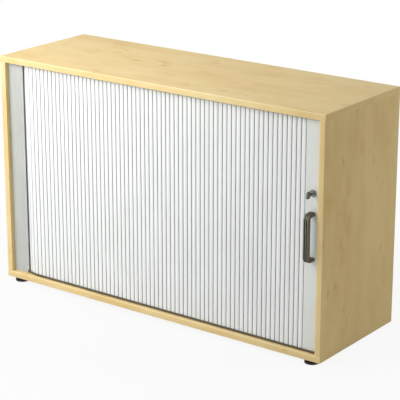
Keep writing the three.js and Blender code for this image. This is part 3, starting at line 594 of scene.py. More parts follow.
glide_low, glide_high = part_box("foot_glide_1")
rim_top = glide_low.z + FOOT_RIM_HEIGHT
neck_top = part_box("foot_socket_1")[0].z - FIT_GAP
foot_radius = (glide_high.x - glide_low.x) / 2
glide = cylinder("foot", foot_radius, (0, 0, glide_low.z), (0, 0, rim_top), Z, FOOT_SIDES)
select_parts(glide, "FACE", lambda middle, facing: facing.z > FACING)
bpy.ops.mesh.inset(thickness=FOOT_RIM_STEP)
extruded((0, 0, neck_top - rim_top))
narrowing = FOOT_TOP_RADIUS / (foot_radius - FOOT_RIM_STEP)
bpy.ops.transform.resize(value=(narrowing, narrowing, 1), center_override=(0, 0, neck_top))
leave_edit()
select_parts(glide, "FACE", lambda middle, facing: abs(facing.z) < ACROSS and middle.z < rim_top)
bpy.ops.mesh.inset(use_individual=True, thickness=GRIP_INSET, depth=-GRIP_DEPTH)
leave_edit()
bevelled(
    glide,
    "EDGE",
    lambda middle, run: abs(run.z) < ACROSS
    and middle.xy.length > foot_radius - FIT_GAP
    and (is_near(middle.z, glide_low.z) or is_near(middle.z, rim_top)),
    GRIP_INSET / 2,
)
stem_foot = (0, 0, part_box("foot_stem_1")[0].z)
stem_head = (0, 0, neck_top + HOLE_OVERRUN)
cut(glide, cylinder("stem_hole", STEM_HOLE_RADIUS, stem_foot, stem_head, Z, STEM_HOLE_SIDES))
use_materials(glide, black_plastic)
smooth(glide)
for number in range(1, 5):
    place = middle_of(f"foot_glide_{number}")
    foot = copied(glide, f"foot_{number}_disc", (place.x, place.y, 0))
    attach(foot, f"foot_{number}")
    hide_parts(f"foot_glide_{number}")
    dressed(f"foot_stem_{number}", thread)
    dressed(f"foot_socket_{number}", black_plastic)
bpy.data.objects.remove(glide)


# Tracks: two plastic channels, screwed to the bottom and top panels, that the slats' ends run in.
# Each is one moulded U section, drawn straight, round the two bends on the left and along the back.
TRACK_WIDTH = 0.0142
TRACK_GROOVE = 0.0092
TRACK_FLOOR = 0.0012
TRACK_LIP_ROUND = 0.0004
TRACK_BEND = 0.092
TRACK_BEND_STEPS = 24
TRACK_END = 0.24137
TRACK_STOP = 0.004
MERGE_REACH = 0.000001

track_plastic = plastic("track_plastic", "4c4638", "5e5746", roughness=0.45, grain=700.0)
track_low, track_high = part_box("track_bottom")
front_run = track_low.y + TRACK_WIDTH / 2
side_run = track_low.x + TRACK_WIDTH / 2
back_run = track_high.y - TRACK_WIDTH / 2
bend_x = side_run + TRACK_BEND
front_bend = front_run + TRACK_BEND
back_bend = back_run - TRACK_BEND


def quarter_turn(steps, centre, axis):
    """Draws what is selected in edit mode a quarter of the way round a centre."""
    bpy.ops.mesh.spin(steps=steps, angle=math.pi / 2, center=centre, axis=axis)


def closed_up():
    """Merges the doubles that extrusions and turns leave, points the faces outwards, and ends."""
    bpy.ops.mesh.select_all(action="SELECT")
    bpy.ops.mesh.remove_doubles(threshold=MERGE_REACH)
    bpy.ops.mesh.normals_make_consistent(inside=False)
    leave_edit()


def channel(name, node, base, up):
    """A track: the U section stands at the right end of the front run and is drawn from there."""
    bpy.ops.object.select_all(action="DESELECT")
    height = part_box(node)[1].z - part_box(node)[0].z
    section_middle = (track_high.x, front_run, base + up * height / 2)
    bpy.ops.mesh.primitive_plane_add(
        size=1, location=section_middle, rotation=(0, math.pi / 2, 0)
    )
    piece = settled(name, (height, TRACK_WIDTH, 1))
    top = base + up * height
    bisected(piece, Y, (front_run - TRACK_GROOVE / 2, front_run + TRACK_GROOVE / 2))
    bisected(piece, Z, (base + up * TRACK_FLOOR,))
    select_parts(
        piece,
        "FACE",
        lambda middle, facing: abs(middle.y - front_run) < TRACK_GROOVE / 4
        and abs(middle.z - base) > TRACK_FLOOR,
    )
    bpy.ops.mesh.delete(type="FACE")
    leave_edit()
    bevelled(piece, "VERT", lambda point, facing: is_near(point.z, top), TRACK_LIP_ROUND)
    select_parts(piece, "FACE")
    extruded((bend_x - track_high.x, 0, 0))
    quarter_turn(TRACK_BEND_STEPS, (bend_x, front_bend, 0), (0, 0, 1))
    extruded((0, back_bend - front_bend, 0))
    quarter_turn(TRACK_BEND_STEPS, (bend_x, back_bend, 0), (0, 0, 1))
    extruded((TRACK_END - bend_x, 0, 0))
    closed_up()
    stop_low = (TRACK_END - TRACK_STOP, back_run - TRACK_WIDTH / 2, min(base, top))
    stop_high = (TRACK_END, back_run + TRACK_WIDTH / 2, max(base, top))
    cut(piece, block("end_stop", stop_low, stop_high), "UNION")
    use_materials(piece, track_plastic)
    smooth(piece)
    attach(piece, "cabinet")
    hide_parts(node)


channel("lower_track", "track_bottom", track_low.z, 1)
channel("upper_track", "track_top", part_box("track_top")[1].z, -1)


# Fascia: an angle strip in silver foil that covers the turn of the curtain.
# Its flange lies behind it against the left side and is screwed there; its free edge is rounded.
FASCIA_THICKNESS = 0.009
FASCIA_FLANGE_WALL = 0.0025
FASCIA_FLANGE_DEPTH = 0.024
FASCIA_ROUND = 0.0008
FASCIA_END_REACH = 4 * FASCIA_ROUND
HALF_TURNED = 0.5
ROUND_STEPS = 3
DRAWN_LINES = (900.0, 3.0, 0.6, 0.006)
DRAWN_CLOUDS = (14.0, 2.0, 0.55, 0.3, (0.8, 1.9, 2.6))
DRAWN_CLOUD_SHARES = (0.2, 0.6)
DRAWN_TONE_PLACES = (0.1, 0.9)
DRAWN_GLOSS_SPREAD = (-0.05, 0.06)
DRAWN_BUMP = (0.00004, 0.4)


def streaked(name, dark, light, roughness, metallic=0.0, streaks=0.5):
    """Foil, plastic or metal drawn upright: fine streaks, faint clouds and uneven gloss."""
    material, tree, shader = new_material(name, metallic=metallic)
    lines = noise(tree, Z, *DRAWN_LINES)
    clouds = noise(tree, Z, *DRAWN_CLOUDS)
    tone = combined(
        tree,
        "ADD",
        ranged(tree, lines, WIDE_VALUES, (0.0, streaks)),
        ranged(tree, clouds, MOST_VALUES, DRAWN_CLOUD_SHARES),
    )
    coloured(tree, shader, tone, DRAWN_TONE_PLACES, (dark, light))
    glossed(tree, shader, lines, roughness, DRAWN_GLOSS_SPREAD)
    bumped(tree, shader, lines, *DRAWN_BUMP)
    return material


foil = streaked("silver_foil", "aeb1ad", "c1c4bf", roughness=0.42, streaks=0.4)
# The end face of the strip gets a much lighter foil: a painted highlight.
foil_end_highlight = streaked(
    "silver_foil_end_painted_highlight", "dadcd9", "eaebe8", roughness=0.36, metallic=0.7, streaks=0.4
)
fascia_low, fascia_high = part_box("left_fascia")
flange_end = fascia_low.x + FASCIA_FLANGE_WALL
strip_back = (fascia_high.x, fascia_low.y + FASCIA_THICKNESS, fascia_high.z)
fascia = block("fascia_strip", fascia_low, strip_back)
bisected(fascia, X, (flange_end,))
select_parts(fascia, "FACE", lambda middle, facing: facing.y > FACING and middle.x < flange_end)
extruded((0, FASCIA_FLANGE_DEPTH, 0))
leave_edit()
bevelled(
    fascia,
    "EDGE",
    lambda middle, run: abs(run.z) > ALONG and is_near(middle.x, fascia_high.x),
    FASCIA_ROUND,
    ROUND_STEPS,
)
use_materials(fascia, foil, foil_end_highlight)
# The end face beyond the flange takes the lighter foil, a painted highlight.
for face in fascia.data.polygons:
    past_flange = face.center.x > fascia_low.x + FASCIA_END_REACH
    face.material_index = 1 if face.normal.x > HALF_TURNED and past_flange else 0
smooth(fascia)
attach(fascia, "cabinet")
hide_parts("left_fascia")


# Curtain: hollow upright slats in silver plastic; their side walls are painted greyer and their
# hinges dark, as painted shade in the grooves.
# The bead on each slat's right edge turns in the socket of the next, so that the curtain bends
# round the track and draws from the rail.
SLAT_PITCH = 0.0158
SLAT_WIDTH = 0.014
SLAT_THICKNESS = 0.008
SLAT_CROWN = 0.0003
SLAT_SHOULDER = 0.0016
SLAT_BACK_TAPER = 0.0005
SLAT_WALL = 0.0012
HOOK_INSET = 0.0022
HOOK_RADIUS = 0.0012
HOOK_NECK = 0.0009
HOOK_CLEARANCE = 0.00035
SOCKET_MOUTH = 0.0018
BEAD_SIDES = 12
MOVING_SLATS = 63
CURTAIN_SLATS = 76
SLAT_FRONT, SLAT_SHADED_HINGE, SLAT_SHADED_SIDE = range(3)

rail_low, rail_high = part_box("closing_rail")
slat_left = -HOOK_INSET
slat_right = slat_left + SLAT_WIDTH
slat_middle = (slat_left + slat_right) / 2
half_slat = SLAT_THICKNESS / 2
below_slats = rail_low.z - HOLE_OVERRUN
above_slats = rail_high.z + HOLE_OVERRUN


def shifted(piece, kind, wanted, shift):
    """Moves the parts of a piece that pass the test."""
    select_parts(piece, kind, wanted)
    bpy.ops.transform.translate(value=shift)
    leave_edit()


def hollow_edge(piece, hinge_x, hinge_y):
    """Cuts the round socket and its mouth into the left edge of a slat or the rail."""
    radius = HOOK_RADIUS + HOOK_CLEARANCE
    low = (hinge_x, hinge_y, below_slats)
    cut(piece, cylinder("socket", radius, low, (hinge_x, hinge_y, above_slats), Z, BEAD_SIDES))
    mouth_left = hinge_x - HOOK_INSET - HOLE_OVERRUN
    mouth_low = (mouth_left, hinge_y - SOCKET_MOUTH / 2, below_slats)
    mouth_high = (hinge_x - HOOK_CLEARANCE, hinge_y + SOCKET_MOUTH / 2, above_slats)
    cut(piece, block("socket_mouth", mouth_low, mouth_high))


slat_plastic = streaked("silver_slat_plastic", "eaecea", "f6f8f7", roughness=0.38)
# Grey side walls and dark hinges: painted shade, which deepens the grooves between the slats.
slat_side_painted_shade = streaked("slat_side_painted_shade_plastic", "b8bbb9", "c8cbc9", roughness=0.45)
hinge_painted_shade = streaked("hinge_painted_shade_plastic", "202220", "343634", roughness=0.5)
slat = block("slat", (slat_left, -half_slat, rail_low.z), (slat_right, half_slat, rail_high.z))
bisected(slat, X, (slat_middle,))
select_parts(
    slat,
    "EDGE",
    lambda middle, run: abs(run.z) > ALONG
    and is_near(middle.y, -half_slat)
    and not is_near(middle.x, slat_middle),
)
bpy.ops.transform.translate(value=(0, SLAT_CROWN, 0))
bpy.ops.mesh.bevel(offset=SLAT_SHOULDER, segments=ROUND_STEPS, affect="EDGES")
leave_edit()
for edge_x, inwards in ((slat_left, 1), (slat_right, -1)):
    shifted(
        slat,
        "EDGE",
        lambda middle, run: abs(run.z) > ALONG
        and is_near(middle.y, half_slat)
        and is_near(middle.x, edge_x),
        (inwards * SLAT_BACK_TAPER, 0, 0),
    )
cell_left = HOOK_RADIUS + HOOK_CLEARANCE + SLAT_WALL
cell_right = slat_right - SLAT_BACK_TAPER - SLAT_WALL
cell_low = (cell_left, SLAT_CROWN + SLAT_WALL - half_slat, below_slats)
cut(slat, block("slat_cell", cell_low, (cell_right, half_slat - SLAT_WALL, above_slats)))
hollow_edge(slat, 0, 0)
neck_low = (slat_right - SLAT_WALL / 2, -HOOK_NECK / 2, rail_low.z)
cut(slat, block("hook_neck", neck_low, (SLAT_PITCH, HOOK_NECK / 2, rail_high.z)), "UNION")
bead_low = (SLAT_PITCH, 0, rail_low.z)
bead_high = (SLAT_PITCH, 0, rail_high.z)
cut(slat, cylinder("hook_bead", HOOK_RADIUS, bead_low, bead_high, Z, BEAD_SIDES), "UNION")
use_materials(slat, slat_plastic, hinge_painted_shade, slat_side_painted_shade)
# Faces past the slat's right edge take the dark hinge tone, and side walls and shoulder flanks the
# grey one: painted shade in the grooves.
for face in slat.data.polygons:
    at_side = is_near(face.center.x, slat_left) or is_near(face.center.x, slat_right)
    if face.center.x > slat_right + FIT_GAP:
        face.material_index = SLAT_SHADED_HINGE
    elif at_side or abs(face.normal.x) > FACING and face.center.y < 0:
        face.material_index = SLAT_SHADED_SIDE
    else:
        face.material_index = SLAT_FRONT
smooth(slat)

# Slats on the straight run: they move with the rail. On the real cabinet they go one after another
# into the bend; here the row stays straight, because the bodies of the model can't turn a corner.
first_hinge = rail_low.x + HOOK_INSET
moving = copied(slat, "moving_slats", (first_hinge - SLAT_PITCH, front_run, 0))
row = moving.modifiers.new("row_of_slats", "ARRAY")
row.count = MOVING_SLATS
row.use_relative_offset = False
row.use_constant_offset = True
row.constant_offset_displace = (-SLAT_PITCH, 0, 0)
bpy.ops.object.modifier_apply(modifier=row.name)
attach(moving, "door")
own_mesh(moving)
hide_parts(*[f"curtain_strip_{number:02d}" for number in range(1, 17)])

# Tail of the curtain: the slats that lie in the bend and past it when the door is closed.
straight_run = first_hinge - bend_x
bend_run = TRACK_BEND * math.pi / 2


def track_point(length):
    """Point of the track's middle line, at a length counted from the hook of the closed rail."""
    if length <= straight_run:
        return Vector((first_hinge - length, front_run, 0))
    if length <= straight_run + bend_run:
        angle = -math.pi / 2 - (length - straight_run) / TRACK_BEND
        turned = Vector((math.cos(angle), math.sin(angle), 0))
        return Vector((bend_x, front_bend, 0)) + TRACK_BEND * turned
    return Vector((side_run, front_bend + length - straight_run - bend_run, 0))


tail = []
for count in range(MOVING_SLATS, CURTAIN_SLATS):
    left_hinge = track_point((count + 1) * SLAT_PITCH)
    reach = track_point(count * SLAT_PITCH) - left_hinge
    tail.append(copied(slat, f"tail_slat_{count + 1}", left_hinge, math.atan2(reach.y, reach.x)))
bpy.ops.object.select_all(action="DESELECT")
for piece in tail:
    piece.select_set(True)
bpy.context.view_layer.objects.active = tail[0]
bpy.ops.object.join()
tail_slats = tail[0]
tail_slats.name = "tail_slats"
tail_slats.data.name = "tail_slats"
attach(tail_slats, "cabinet")
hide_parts(*[f"curtain_strip_{number:02d}" for number in range(17, 20)])
bpy.data.objects.remove(slat)


# Closing rail: a hollow aluminium section with the same socket in its left edge, rounded corners
# and a front that falls back towards the right. It ends the curtain, and the handle and the lock
# are fixed through it.
RAIL_ROUND = 0.001
RAIL_WALL = 0.0016
RAIL_CROWN = 0.0019
RAIL_STEPS = 8
RAIL_HOLE_SIDES = 32
BARREL_RADIUS = 0.008
SCREW_RADIUS = 0.002

rail_metal = streaked(
    "brushed_aluminium", "cfd2ce", "e2e5e1", roughness=0.4, metallic=0.2, streaks=0.6
)
rail_middle = (rail_low.x + rail_high.x) / 2
housing_low, housing_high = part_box("lock_housing")
lock_height = (housing_low.z + housing_high.z) / 2
screw_heights = [middle_of(f"handle_screw_{number}").z for number in (1, 2)]
rail_lines = [
    rail_low.x + (rail_high.x - rail_low.x) * step / RAIL_STEPS for step in range(RAIL_STEPS + 1)
]


def on_rail(name, radius, front, back, height, sides):
    """A cylinder that runs from front to back through the rail's middle line."""
    return cylinder(
        name, radius, (rail_middle, front, height), (rail_middle, back, height), Y, sides
    )


rail = block("rail_section", rail_low, rail_high)
bisected(rail, X, rail_lines[1:-1])
for step, line_x in enumerate(rail_lines):
    shifted(
        rail,
        "VERT",
        lambda point, facing: is_near(point.x, line_x) and is_near(point.y, rail_low.y),
        (0, RAIL_CROWN * max(0.0, 2 * step / RAIL_STEPS - 1) ** 2, 0),
    )
bevelled(
    rail,
    "EDGE",
    lambda middle, run: abs(run.z) > ALONG
    and (is_near(middle.x, rail_high.x) or is_near(middle.x, rail_low.x) and middle.y < front_run),
    RAIL_ROUND,
    ROUND_STEPS,
)
cell_left = first_hinge + HOOK_RADIUS + HOOK_CLEARANCE + RAIL_WALL
cell_low = (cell_left, rail_low.y + RAIL_CROWN + RAIL_WALL, below_slats)
cell_high = (rail_high.x - RAIL_WALL, rail_high.y - RAIL_WALL, above_slats)
cut(rail, block("rail_cell", cell_low, cell_high))
hollow_edge(rail, first_hinge, front_run)
rail_front = rail_low.y - HOLE_OVERRUN
rail_back = rail_high.y + HOLE_OVERRUN
for radius, height in ((BARREL_RADIUS, lock_height), *((SCREW_RADIUS, z) for z in screw_heights)):
    bore = radius + FIT_GAP
    cut(rail, on_rail("rail_hole", bore, rail_front, rail_back, height, RAIL_HOLE_SIDES))
use_materials(rail, rail_metal)
smooth(rail)
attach(rail, "door")
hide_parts("closing_rail")


# Handle: a flat bar with three ridges on its outside, bent twice into a bow, in dark gunmetal, with
# paler painted highlights on the ridges' crests and on its flanks. Its legs stand on the rail, and
# a screw from behind holds each of them.
HANDLE_WIDTH = 0.018
HANDLE_THICKNESS = 0.011
HANDLE_PROJECTION = 0.034
HANDLE_RIDGES = 3
HANDLE_RIDGE_DROP = 0.0018
HANDLE_CORNER = 0.012
HANDLE_EDGE_ROUND = 0.0012
HANDLE_COLUMNS = 24
HANDLE_CORNER_STEPS = 12
HANDLE_SMOOTH_ANGLE = 40
SCREW_HOLE_DEPTH = 0.012
SCREW_HOLE_SIDES = 20
# Paler tone on the ridges' crests and on the flanks: painted highlights.
CREST_REACH = 0.0012
CREST_HIGHLIGHT = 0.72
FLANK_REACH = 0.0012
FLANK_HIGHLIGHT = 0.45
GUNMETAL_SHARE = 0.85
GUNMETAL_GRAIN = (1300.0, 2.0, 0.6, 0.05)
GUNMETAL_GRAIN_SHARES = (0.0, 0.18)
GUNMETAL_TONE_PLACES = (0.0, 0.5, 1.0)
GUNMETAL_AND_HIGHLIGHT_TONES = ("1c1c14", "6a6a5d", "bdbbab")
GUNMETAL_ROUGHNESS = 0.5
GUNMETAL_GLOSS_SPREAD = (-0.04, 0.1)

gunmetal, tree, shader = new_material("gunmetal", metallic=GUNMETAL_SHARE)
across = tree.nodes.new("ShaderNodeSeparateXYZ")
tree.links.new(pattern_space(tree, place=(-rail_middle, 0, 0)), across.inputs["Vector"])
from_middle = combined(tree, "ABSOLUTE", across.outputs["X"])
from_outer_crest = combined(tree, "SUBTRACT", from_middle, HANDLE_WIDTH / HANDLE_RIDGES)
from_outer_crest = combined(tree, "ABSOLUTE", from_outer_crest)
from_crest = combined(tree, "MINIMUM", from_middle, from_outer_crest)
# The crests and flanks are painted paler: painted highlights.
painted_highlights = ranged(tree, from_crest, (0.0, CREST_REACH), (CREST_HIGHLIGHT, 0.0), True)
flank_span = (HANDLE_WIDTH / 2 - FLANK_REACH, HANDLE_WIDTH / 2)
flank_highlight = ranged(tree, from_middle, flank_span, (0.0, FLANK_HIGHLIGHT), True)
painted_highlights = combined(tree, "MAXIMUM", painted_highlights, flank_highlight)
grain = noise(tree, Z, *GUNMETAL_GRAIN)
grain_share = ranged(tree, grain, MOST_VALUES, GUNMETAL_GRAIN_SHARES)
gunmetal_tone = combined(tree, "ADD", painted_highlights, grain_share)
coloured(tree, shader, gunmetal_tone, GUNMETAL_TONE_PLACES, GUNMETAL_AND_HIGHLIGHT_TONES)
glossed(tree, shader, grain, GUNMETAL_ROUGHNESS, GUNMETAL_GLOSS_SPREAD)
bumped(tree, shader, grain, *METAL_BUMP)

lower_leg, upper_leg = screw_heights
grip_line = rail_low.y - HANDLE_PROJECTION + HANDLE_THICKNESS / 2
corner_line = grip_line + HANDLE_CORNER
bpy.ops.object.select_all(action="DESELECT")
bpy.ops.mesh.primitive_grid_add(
    x_subdivisions=HANDLE_COLUMNS,
    y_subdivisions=1,
    size=1,
    location=(rail_middle, rail_low.y, lower_leg),
    rotation=(math.pi / 2, 0, 0),
)
handle = settled("handle_bar", (HANDLE_WIDTH, HANDLE_THICKNESS, 1))
outside = lower_leg - HANDLE_THICKNESS / 2
ridge_half = HANDLE_WIDTH / HANDLE_RIDGES / 2
for column in range(HANDLE_COLUMNS + 1):
    column_x = rail_middle + (column / HANDLE_COLUMNS - 0.5) * HANDLE_WIDTH
    to_middle = abs(column_x - rail_middle)
    to_crest = min(to_middle, abs(to_middle - 2 * ridge_half)) / ridge_half
    drop = HANDLE_RIDGE_DROP * (1 - math.sqrt(max(0.0, 1 - to_crest ** 2)))
    shifted(
        handle,
        "VERT",
        lambda point, facing: is_near(point.x, column_x) and is_near(point.z, outside),
        (0, 0, drop),
    )
bevelled(
    handle,
    "VERT",
    lambda point, facing: is_near(abs(point.x - rail_middle), HANDLE_WIDTH / 2)
    and point.z > lower_leg,
    HANDLE_EDGE_ROUND,
    ROUND_STEPS,
)
select_parts(handle, "FACE")
extruded((0, corner_line - rail_low.y, 0))
lower_centre = (rail_middle, corner_line, lower_leg + HANDLE_CORNER)
quarter_turn(HANDLE_CORNER_STEPS, lower_centre, (1, 0, 0))
extruded((0, 0, upper_leg - lower_leg - 2 * HANDLE_CORNER))
upper_centre = (rail_middle, corner_line, upper_leg - HANDLE_CORNER)
quarter_turn(HANDLE_CORNER_STEPS, upper_centre, (1, 0, 0))
extruded((0, rail_low.y - grip_line - HANDLE_CORNER, 0))
closed_up()
hole_bottom = rail_low.y - SCREW_HOLE_DEPTH
hole_mouth = rail_low.y + HOLE_OVERRUN
for height in screw_heights:
    bore = SCREW_RADIUS + FIT_GAP
    cut(handle, on_rail("screw_hole", bore, hole_bottom, hole_mouth, height, SCREW_HOLE_SIDES))
use_materials(handle, gunmetal)
smooth(handle, HANDLE_SMOOTH_ANGLE)
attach(handle, "door")
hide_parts("handle_bow")
dressed("handle_screw_1", steel)
dressed("handle_screw_2", steel)


# Lock housing: a rosette on the front of the rail, a barrel through it and a case behind it.
# The case is die-cast and holds the bolt, which leaves it through a slot on the right.
ROSETTE_RADIUS = 0.0105
ROSETTE_SIDES = 64
ROSETTE_HEIGHT = 0.003
ROSETTE_CHAMFER = 0.0012
ROSETTE_RING = 0.0022
RING_DEPTH = 0.0003
FLAT_FACING = 0.99
BARREL_SIDES = 48
PLUG_RADIUS = 0.0055
CASE_CORNER = 0.003
CASE_EDGE = 0.0006

lock_metal = metal("dark_lock_metal", "808280", "686b6a", roughness=0.56, scratch_axis=X)
rosette_front = rail_low.y - ROSETTE_HEIGHT
housing = on_rail(
    "lock_case", ROSETTE_RADIUS, rosette_front, rail_low.y, lock_height, ROSETTE_SIDES
)
bevelled(
    housing, "FACE", lambda middle, facing: facing.y < -FACING, ROSETTE_CHAMFER, ROUND_STEPS
)
select_parts(housing, "FACE", lambda middle, facing: facing.y < -FLAT_FACING)
bpy.ops.mesh.inset(thickness=ROSETTE_RING / 2)
bpy.ops.mesh.inset(thickness=ROSETTE_RING / 4, depth=-RING_DEPTH)
leave_edit()
barrel = on_rail("barrel", BARREL_RADIUS, rail_front, rail_back, lock_height, BARREL_SIDES)
cut(housing, barrel, "UNION")
case = block("case", (housing_low.x, rail_high.y, housing_low.z), housing_high)
rounded(case, Y, CASE_CORNER)
bevelled(
    case,
    "EDGE",
    lambda middle, run: abs(run.y) < ACROSS and is_near(middle.y, housing_high.y),
    CASE_EDGE,
)
cut(housing, case, "UNION")
plug_low, plug_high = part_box("lock_plug")
bore_front, bore_back = rosette_front - HOLE_OVERRUN, plug_high.y + FIT_GAP
bore = PLUG_RADIUS + FIT_GAP
cut(housing, on_rail("plug_bore", bore, bore_front, bore_back, lock_height, BARREL_SIDES))
slot_low = bolt_low - Vector((FIT_GAP, FIT_GAP, FIT_GAP))
slot_high = bolt_high + Vector((HOLE_OVERRUN + FIT_GAP, FIT_GAP, FIT_GAP))
cut(housing, block("bolt_way", slot_low, slot_high))
use_materials(housing, lock_metal)
smooth(housing)
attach(housing, "door")
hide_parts("lock_housing")


# Plug and key: the plug turns in the housing, and the key in its keyway turns it.
# The key is stamped flat, with a rounded bow, a hole for a ring and a groove along its blade.
KEYWAY_HALF = 0.0014
KEYWAY_HALF_HEIGHT = 0.0038
PLUG_EDGE = 0.0003
KEY_HALF_THICKNESS = 0.0016
BLADE_HALF_THICKNESS = 0.0011
BLADE_HALF_HEIGHT = 0.0035
KEY_BOW_LENGTH = 0.018
KEY_BOW_HALF = 0.0105
KEY_CORNER = 0.006
KEY_CORNER_STEPS = 6
KEY_HOLE_RADIUS = 0.0022
KEY_HOLE_SIDES = 28
KEY_HOLE_INSET = 0.0046
KEY_RIM = 0.0004
BLADE_GROOVE = 0.0009
BLADE_GROOVE_DEPTH = 0.0004
TEETH = 4
FIRST_TOOTH = 0.8
TOOTH_PITCH = 0.0026
TOOTH_DEPTH = 0.0011
TOOTH_SIDES = 6

key_low, key_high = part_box("key")
plug = on_rail("turning_plug", PLUG_RADIUS, plug_low.y, plug_high.y, lock_height, BARREL_SIDES)
bevelled(plug, "FACE", lambda middle, facing: facing.y < -FACING, PLUG_EDGE)
keyway_low = (
    rail_middle - KEYWAY_HALF, plug_low.y - HOLE_OVERRUN, lock_height - KEYWAY_HALF_HEIGHT
)
keyway_high = (
    rail_middle + KEYWAY_HALF, key_high.y + FIT_GAP, lock_height + KEYWAY_HALF_HEIGHT
)
cut(plug, block("keyway", keyway_low, keyway_high))
plug_metal = metal("dull_plug_steel", "a0a6a2", "80868a", roughness=0.5, scratch_axis=X)
use_materials(plug, plug_metal)
smooth(plug)
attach(plug, "lock_core")
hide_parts("lock_plug")

bow_back = key_low.y + KEY_BOW_LENGTH
key = block(
    "lock_key",
    (rail_middle - KEY_HALF_THICKNESS, key_low.y, lock_height - KEY_BOW_HALF),
    (rail_middle + KEY_HALF_THICKNESS, bow_back, lock_height + KEY_BOW_HALF),
)
rounded(key, X, KEY_CORNER, KEY_CORNER_STEPS)
hole_y = key_low.y + KEY_HOLE_INSET
hole_left = (key_low.x - HOLE_OVERRUN, hole_y, lock_height)
hole_right = (key_high.x + HOLE_OVERRUN, hole_y, lock_height)
cut(key, cylinder("ring_hole", KEY_HOLE_RADIUS, hole_left, hole_right, X, KEY_HOLE_SIDES))
bevelled(
    key,
    "EDGE",
    lambda middle, run: abs(run.x) < ACROSS
    and is_near(abs(middle.x - rail_middle), KEY_HALF_THICKNESS),
    KEY_RIM,
)
blade_bottom = lock_height - BLADE_HALF_HEIGHT
blade = block(
    "blade",
    (rail_middle - BLADE_HALF_THICKNESS, bow_back - HOLE_OVERRUN, blade_bottom),
    (rail_middle + BLADE_HALF_THICKNESS, key_high.y, lock_height + BLADE_HALF_HEIGHT),
)
for side in (-1, 1):
    groove_x = rail_middle + side * BLADE_HALF_THICKNESS
    groove_front, groove_back = bow_back + HOLE_OVERRUN, key_high.y + HOLE_OVERRUN
    groove_low = (groove_x - BLADE_GROOVE_DEPTH, groove_front, lock_height - BLADE_GROOVE)
    groove_high = (groove_x + BLADE_GROOVE_DEPTH, groove_back, lock_height + BLADE_GROOVE)
    cut(blade, block("blade_groove", groove_low, groove_high))
for count in range(TEETH):
    tooth_y = key_high.y - (count + FIRST_TOOTH) * TOOTH_PITCH
    notch_left = (key_low.x, tooth_y, blade_bottom)
    notch_right = (key_high.x, tooth_y, blade_bottom)
    cut(blade, cylinder("notch", TOOTH_DEPTH, notch_left, notch_right, X, TOOTH_SIDES))
cut(key, blade, "UNION")
use_materials(key, lock_metal)
smooth(key)
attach(key, "lock_core")
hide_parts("key")


# Bolt and strike plate: the bolt slides out of the case into a steel plate let into the right side.
# The plate has rounded corners and is held by two countersunk cross-head screws.
STRIKE_SCREW_OFFSET = 0.0155
STRIKE_SCREW_RADIUS = 0.0032
STRIKE_SCREW_SIDES = 28
CROSS_HALF = 0.0004
CROSS_REACH = 0.0018
CROSS_DEPTH = 0.0007

dressed("lock_bolt", steel)
strike = block("strike", strike_low, strike_high)
rounded(strike, X, STRIKE_CORNER)
cut(strike, block("strike_slot", bolt_slot_low, bolt_slot_high))
strike_front = strike_low.x - HOLE_OVERRUN
strike_middle = middle_of("strike_plate")
for way in (-1, 1):
    screw_z = strike_middle.z + way * STRIKE_SCREW_OFFSET
    mouth = (strike_front, strike_middle.y, screw_z)
    bottom = (strike_low.x + FIT_GAP, strike_middle.y, screw_z)
    sides = STRIKE_SCREW_SIDES
    cut(strike, cylinder("countersink", STRIKE_SCREW_RADIUS, mouth, bottom, X, sides))
    for across_y, across_z in ((CROSS_REACH, CROSS_HALF), (CROSS_HALF, CROSS_REACH)):
        cross_back = strike_low.x + CROSS_DEPTH
        arm_low = (strike_front, strike_middle.y - across_y, screw_z - across_z)
        arm_high = (cross_back, strike_middle.y + across_y, screw_z + across_z)
        cut(strike, block("cross_arm", arm_low, arm_high))
use_materials(strike, steel)
smooth(strike)
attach(strike, "cabinet")
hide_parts("strike_plate")


# Floor, studio light and white surroundings.
# The floor is white to the eye and still takes the soft shadow of the cabinet.
FLOOR_SIZE = 40.0
FLOOR_DROP = 0.0003
FLOOR_TONE = 0.6
GLOW_REACHES = (0.5, 1.6)
GLOW_SHARES = (0.9, 1.0)
AMBIENT = 0.35
LIGHT_AIM = Vector((-0.1, 0.0, 0.4))
LIGHTS = (
    ("key_light", Vector((-0.7, -1.3, 1.65)), 1.4, 24.0),
    ("low_light", Vector((-1.2, -1.5, 1.1)), 1.4, 11.5),
    ("overhead_light", Vector((-0.8, 0.5, 2.0)), 1.4, 4.4),
    ("fill_light", Vector((2.4, 1.6, 1.0)), 1.2, 13.2),
)


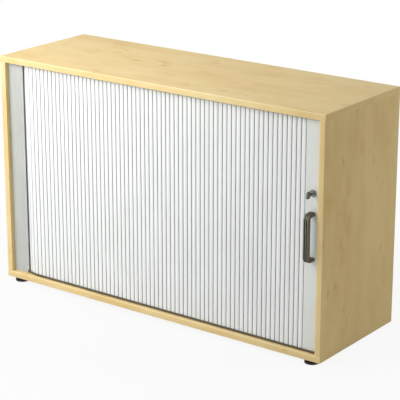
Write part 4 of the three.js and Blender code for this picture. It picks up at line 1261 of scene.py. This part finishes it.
def seen_straight(tree):
    """1 for rays from the camera, off gloss or through glass, which see white surroundings."""
    rays = tree.nodes.new("ShaderNodeLightPath")
    seen = combined(tree, "MAXIMUM", rays.outputs["Is Camera Ray"], rays.outputs["Is Glossy Ray"])
    return combined(tree, "MAXIMUM", seen, rays.outputs["Is Transmission Ray"])


bpy.ops.object.select_all(action="DESELECT")
bpy.ops.mesh.primitive_plane_add(size=FLOOR_SIZE, location=(0, 0, -FLOOR_DROP))
floor = bpy.context.active_object
floor.name = "floor"
paper = bpy.data.materials.new("white_floor")
paper.use_nodes = True
tree = paper.node_tree
tree.nodes.clear()
lit = tree.nodes.new("ShaderNodeBsdfDiffuse")
lit.inputs["Color"].default_value = (FLOOR_TONE, FLOOR_TONE, FLOOR_TONE, 1)
glow = tree.nodes.new("ShaderNodeEmission")
space = tree.nodes.new("ShaderNodeTexCoord")
away = tree.nodes.new("ShaderNodeVectorMath")
away.operation = "LENGTH"
tree.links.new(space.outputs["Object"], away.inputs[0])
glow_share = ranged(tree, away.outputs["Value"], GLOW_REACHES, GLOW_SHARES)
blend = tree.nodes.new("ShaderNodeMixShader")
surface = tree.nodes.new("ShaderNodeOutputMaterial")
tree.links.new(combined(tree, "MULTIPLY", seen_straight(tree), glow_share), blend.inputs["Fac"])
tree.links.new(lit.outputs["BSDF"], blend.inputs[1])
tree.links.new(glow.outputs["Emission"], blend.inputs[2])
tree.links.new(blend.outputs["Shader"], surface.inputs["Surface"])
floor.data.materials.append(paper)

world = bpy.data.worlds.new("white_studio")
bpy.context.scene.world = world
world.use_nodes = True
tree = world.node_tree
sky = tree.nodes["Background"]
sky.inputs["Color"].default_value = (1, 1, 1, 1)
level = ranged(tree, seen_straight(tree), (0.0, 1.0), (AMBIENT, 1.0))
tree.links.new(level, sky.inputs["Strength"])

for light_name, light_place, light_size, light_power in LIGHTS:
    light_turn = turned_to(light_place, LIGHT_AIM)
    bpy.ops.object.light_add(type="AREA", location=light_place, rotation=light_turn)
    light = bpy.context.active_object
    light.name = light_name
    light.data.shape = "DISK"
    light.data.size = light_size
    light.data.energy = light_power
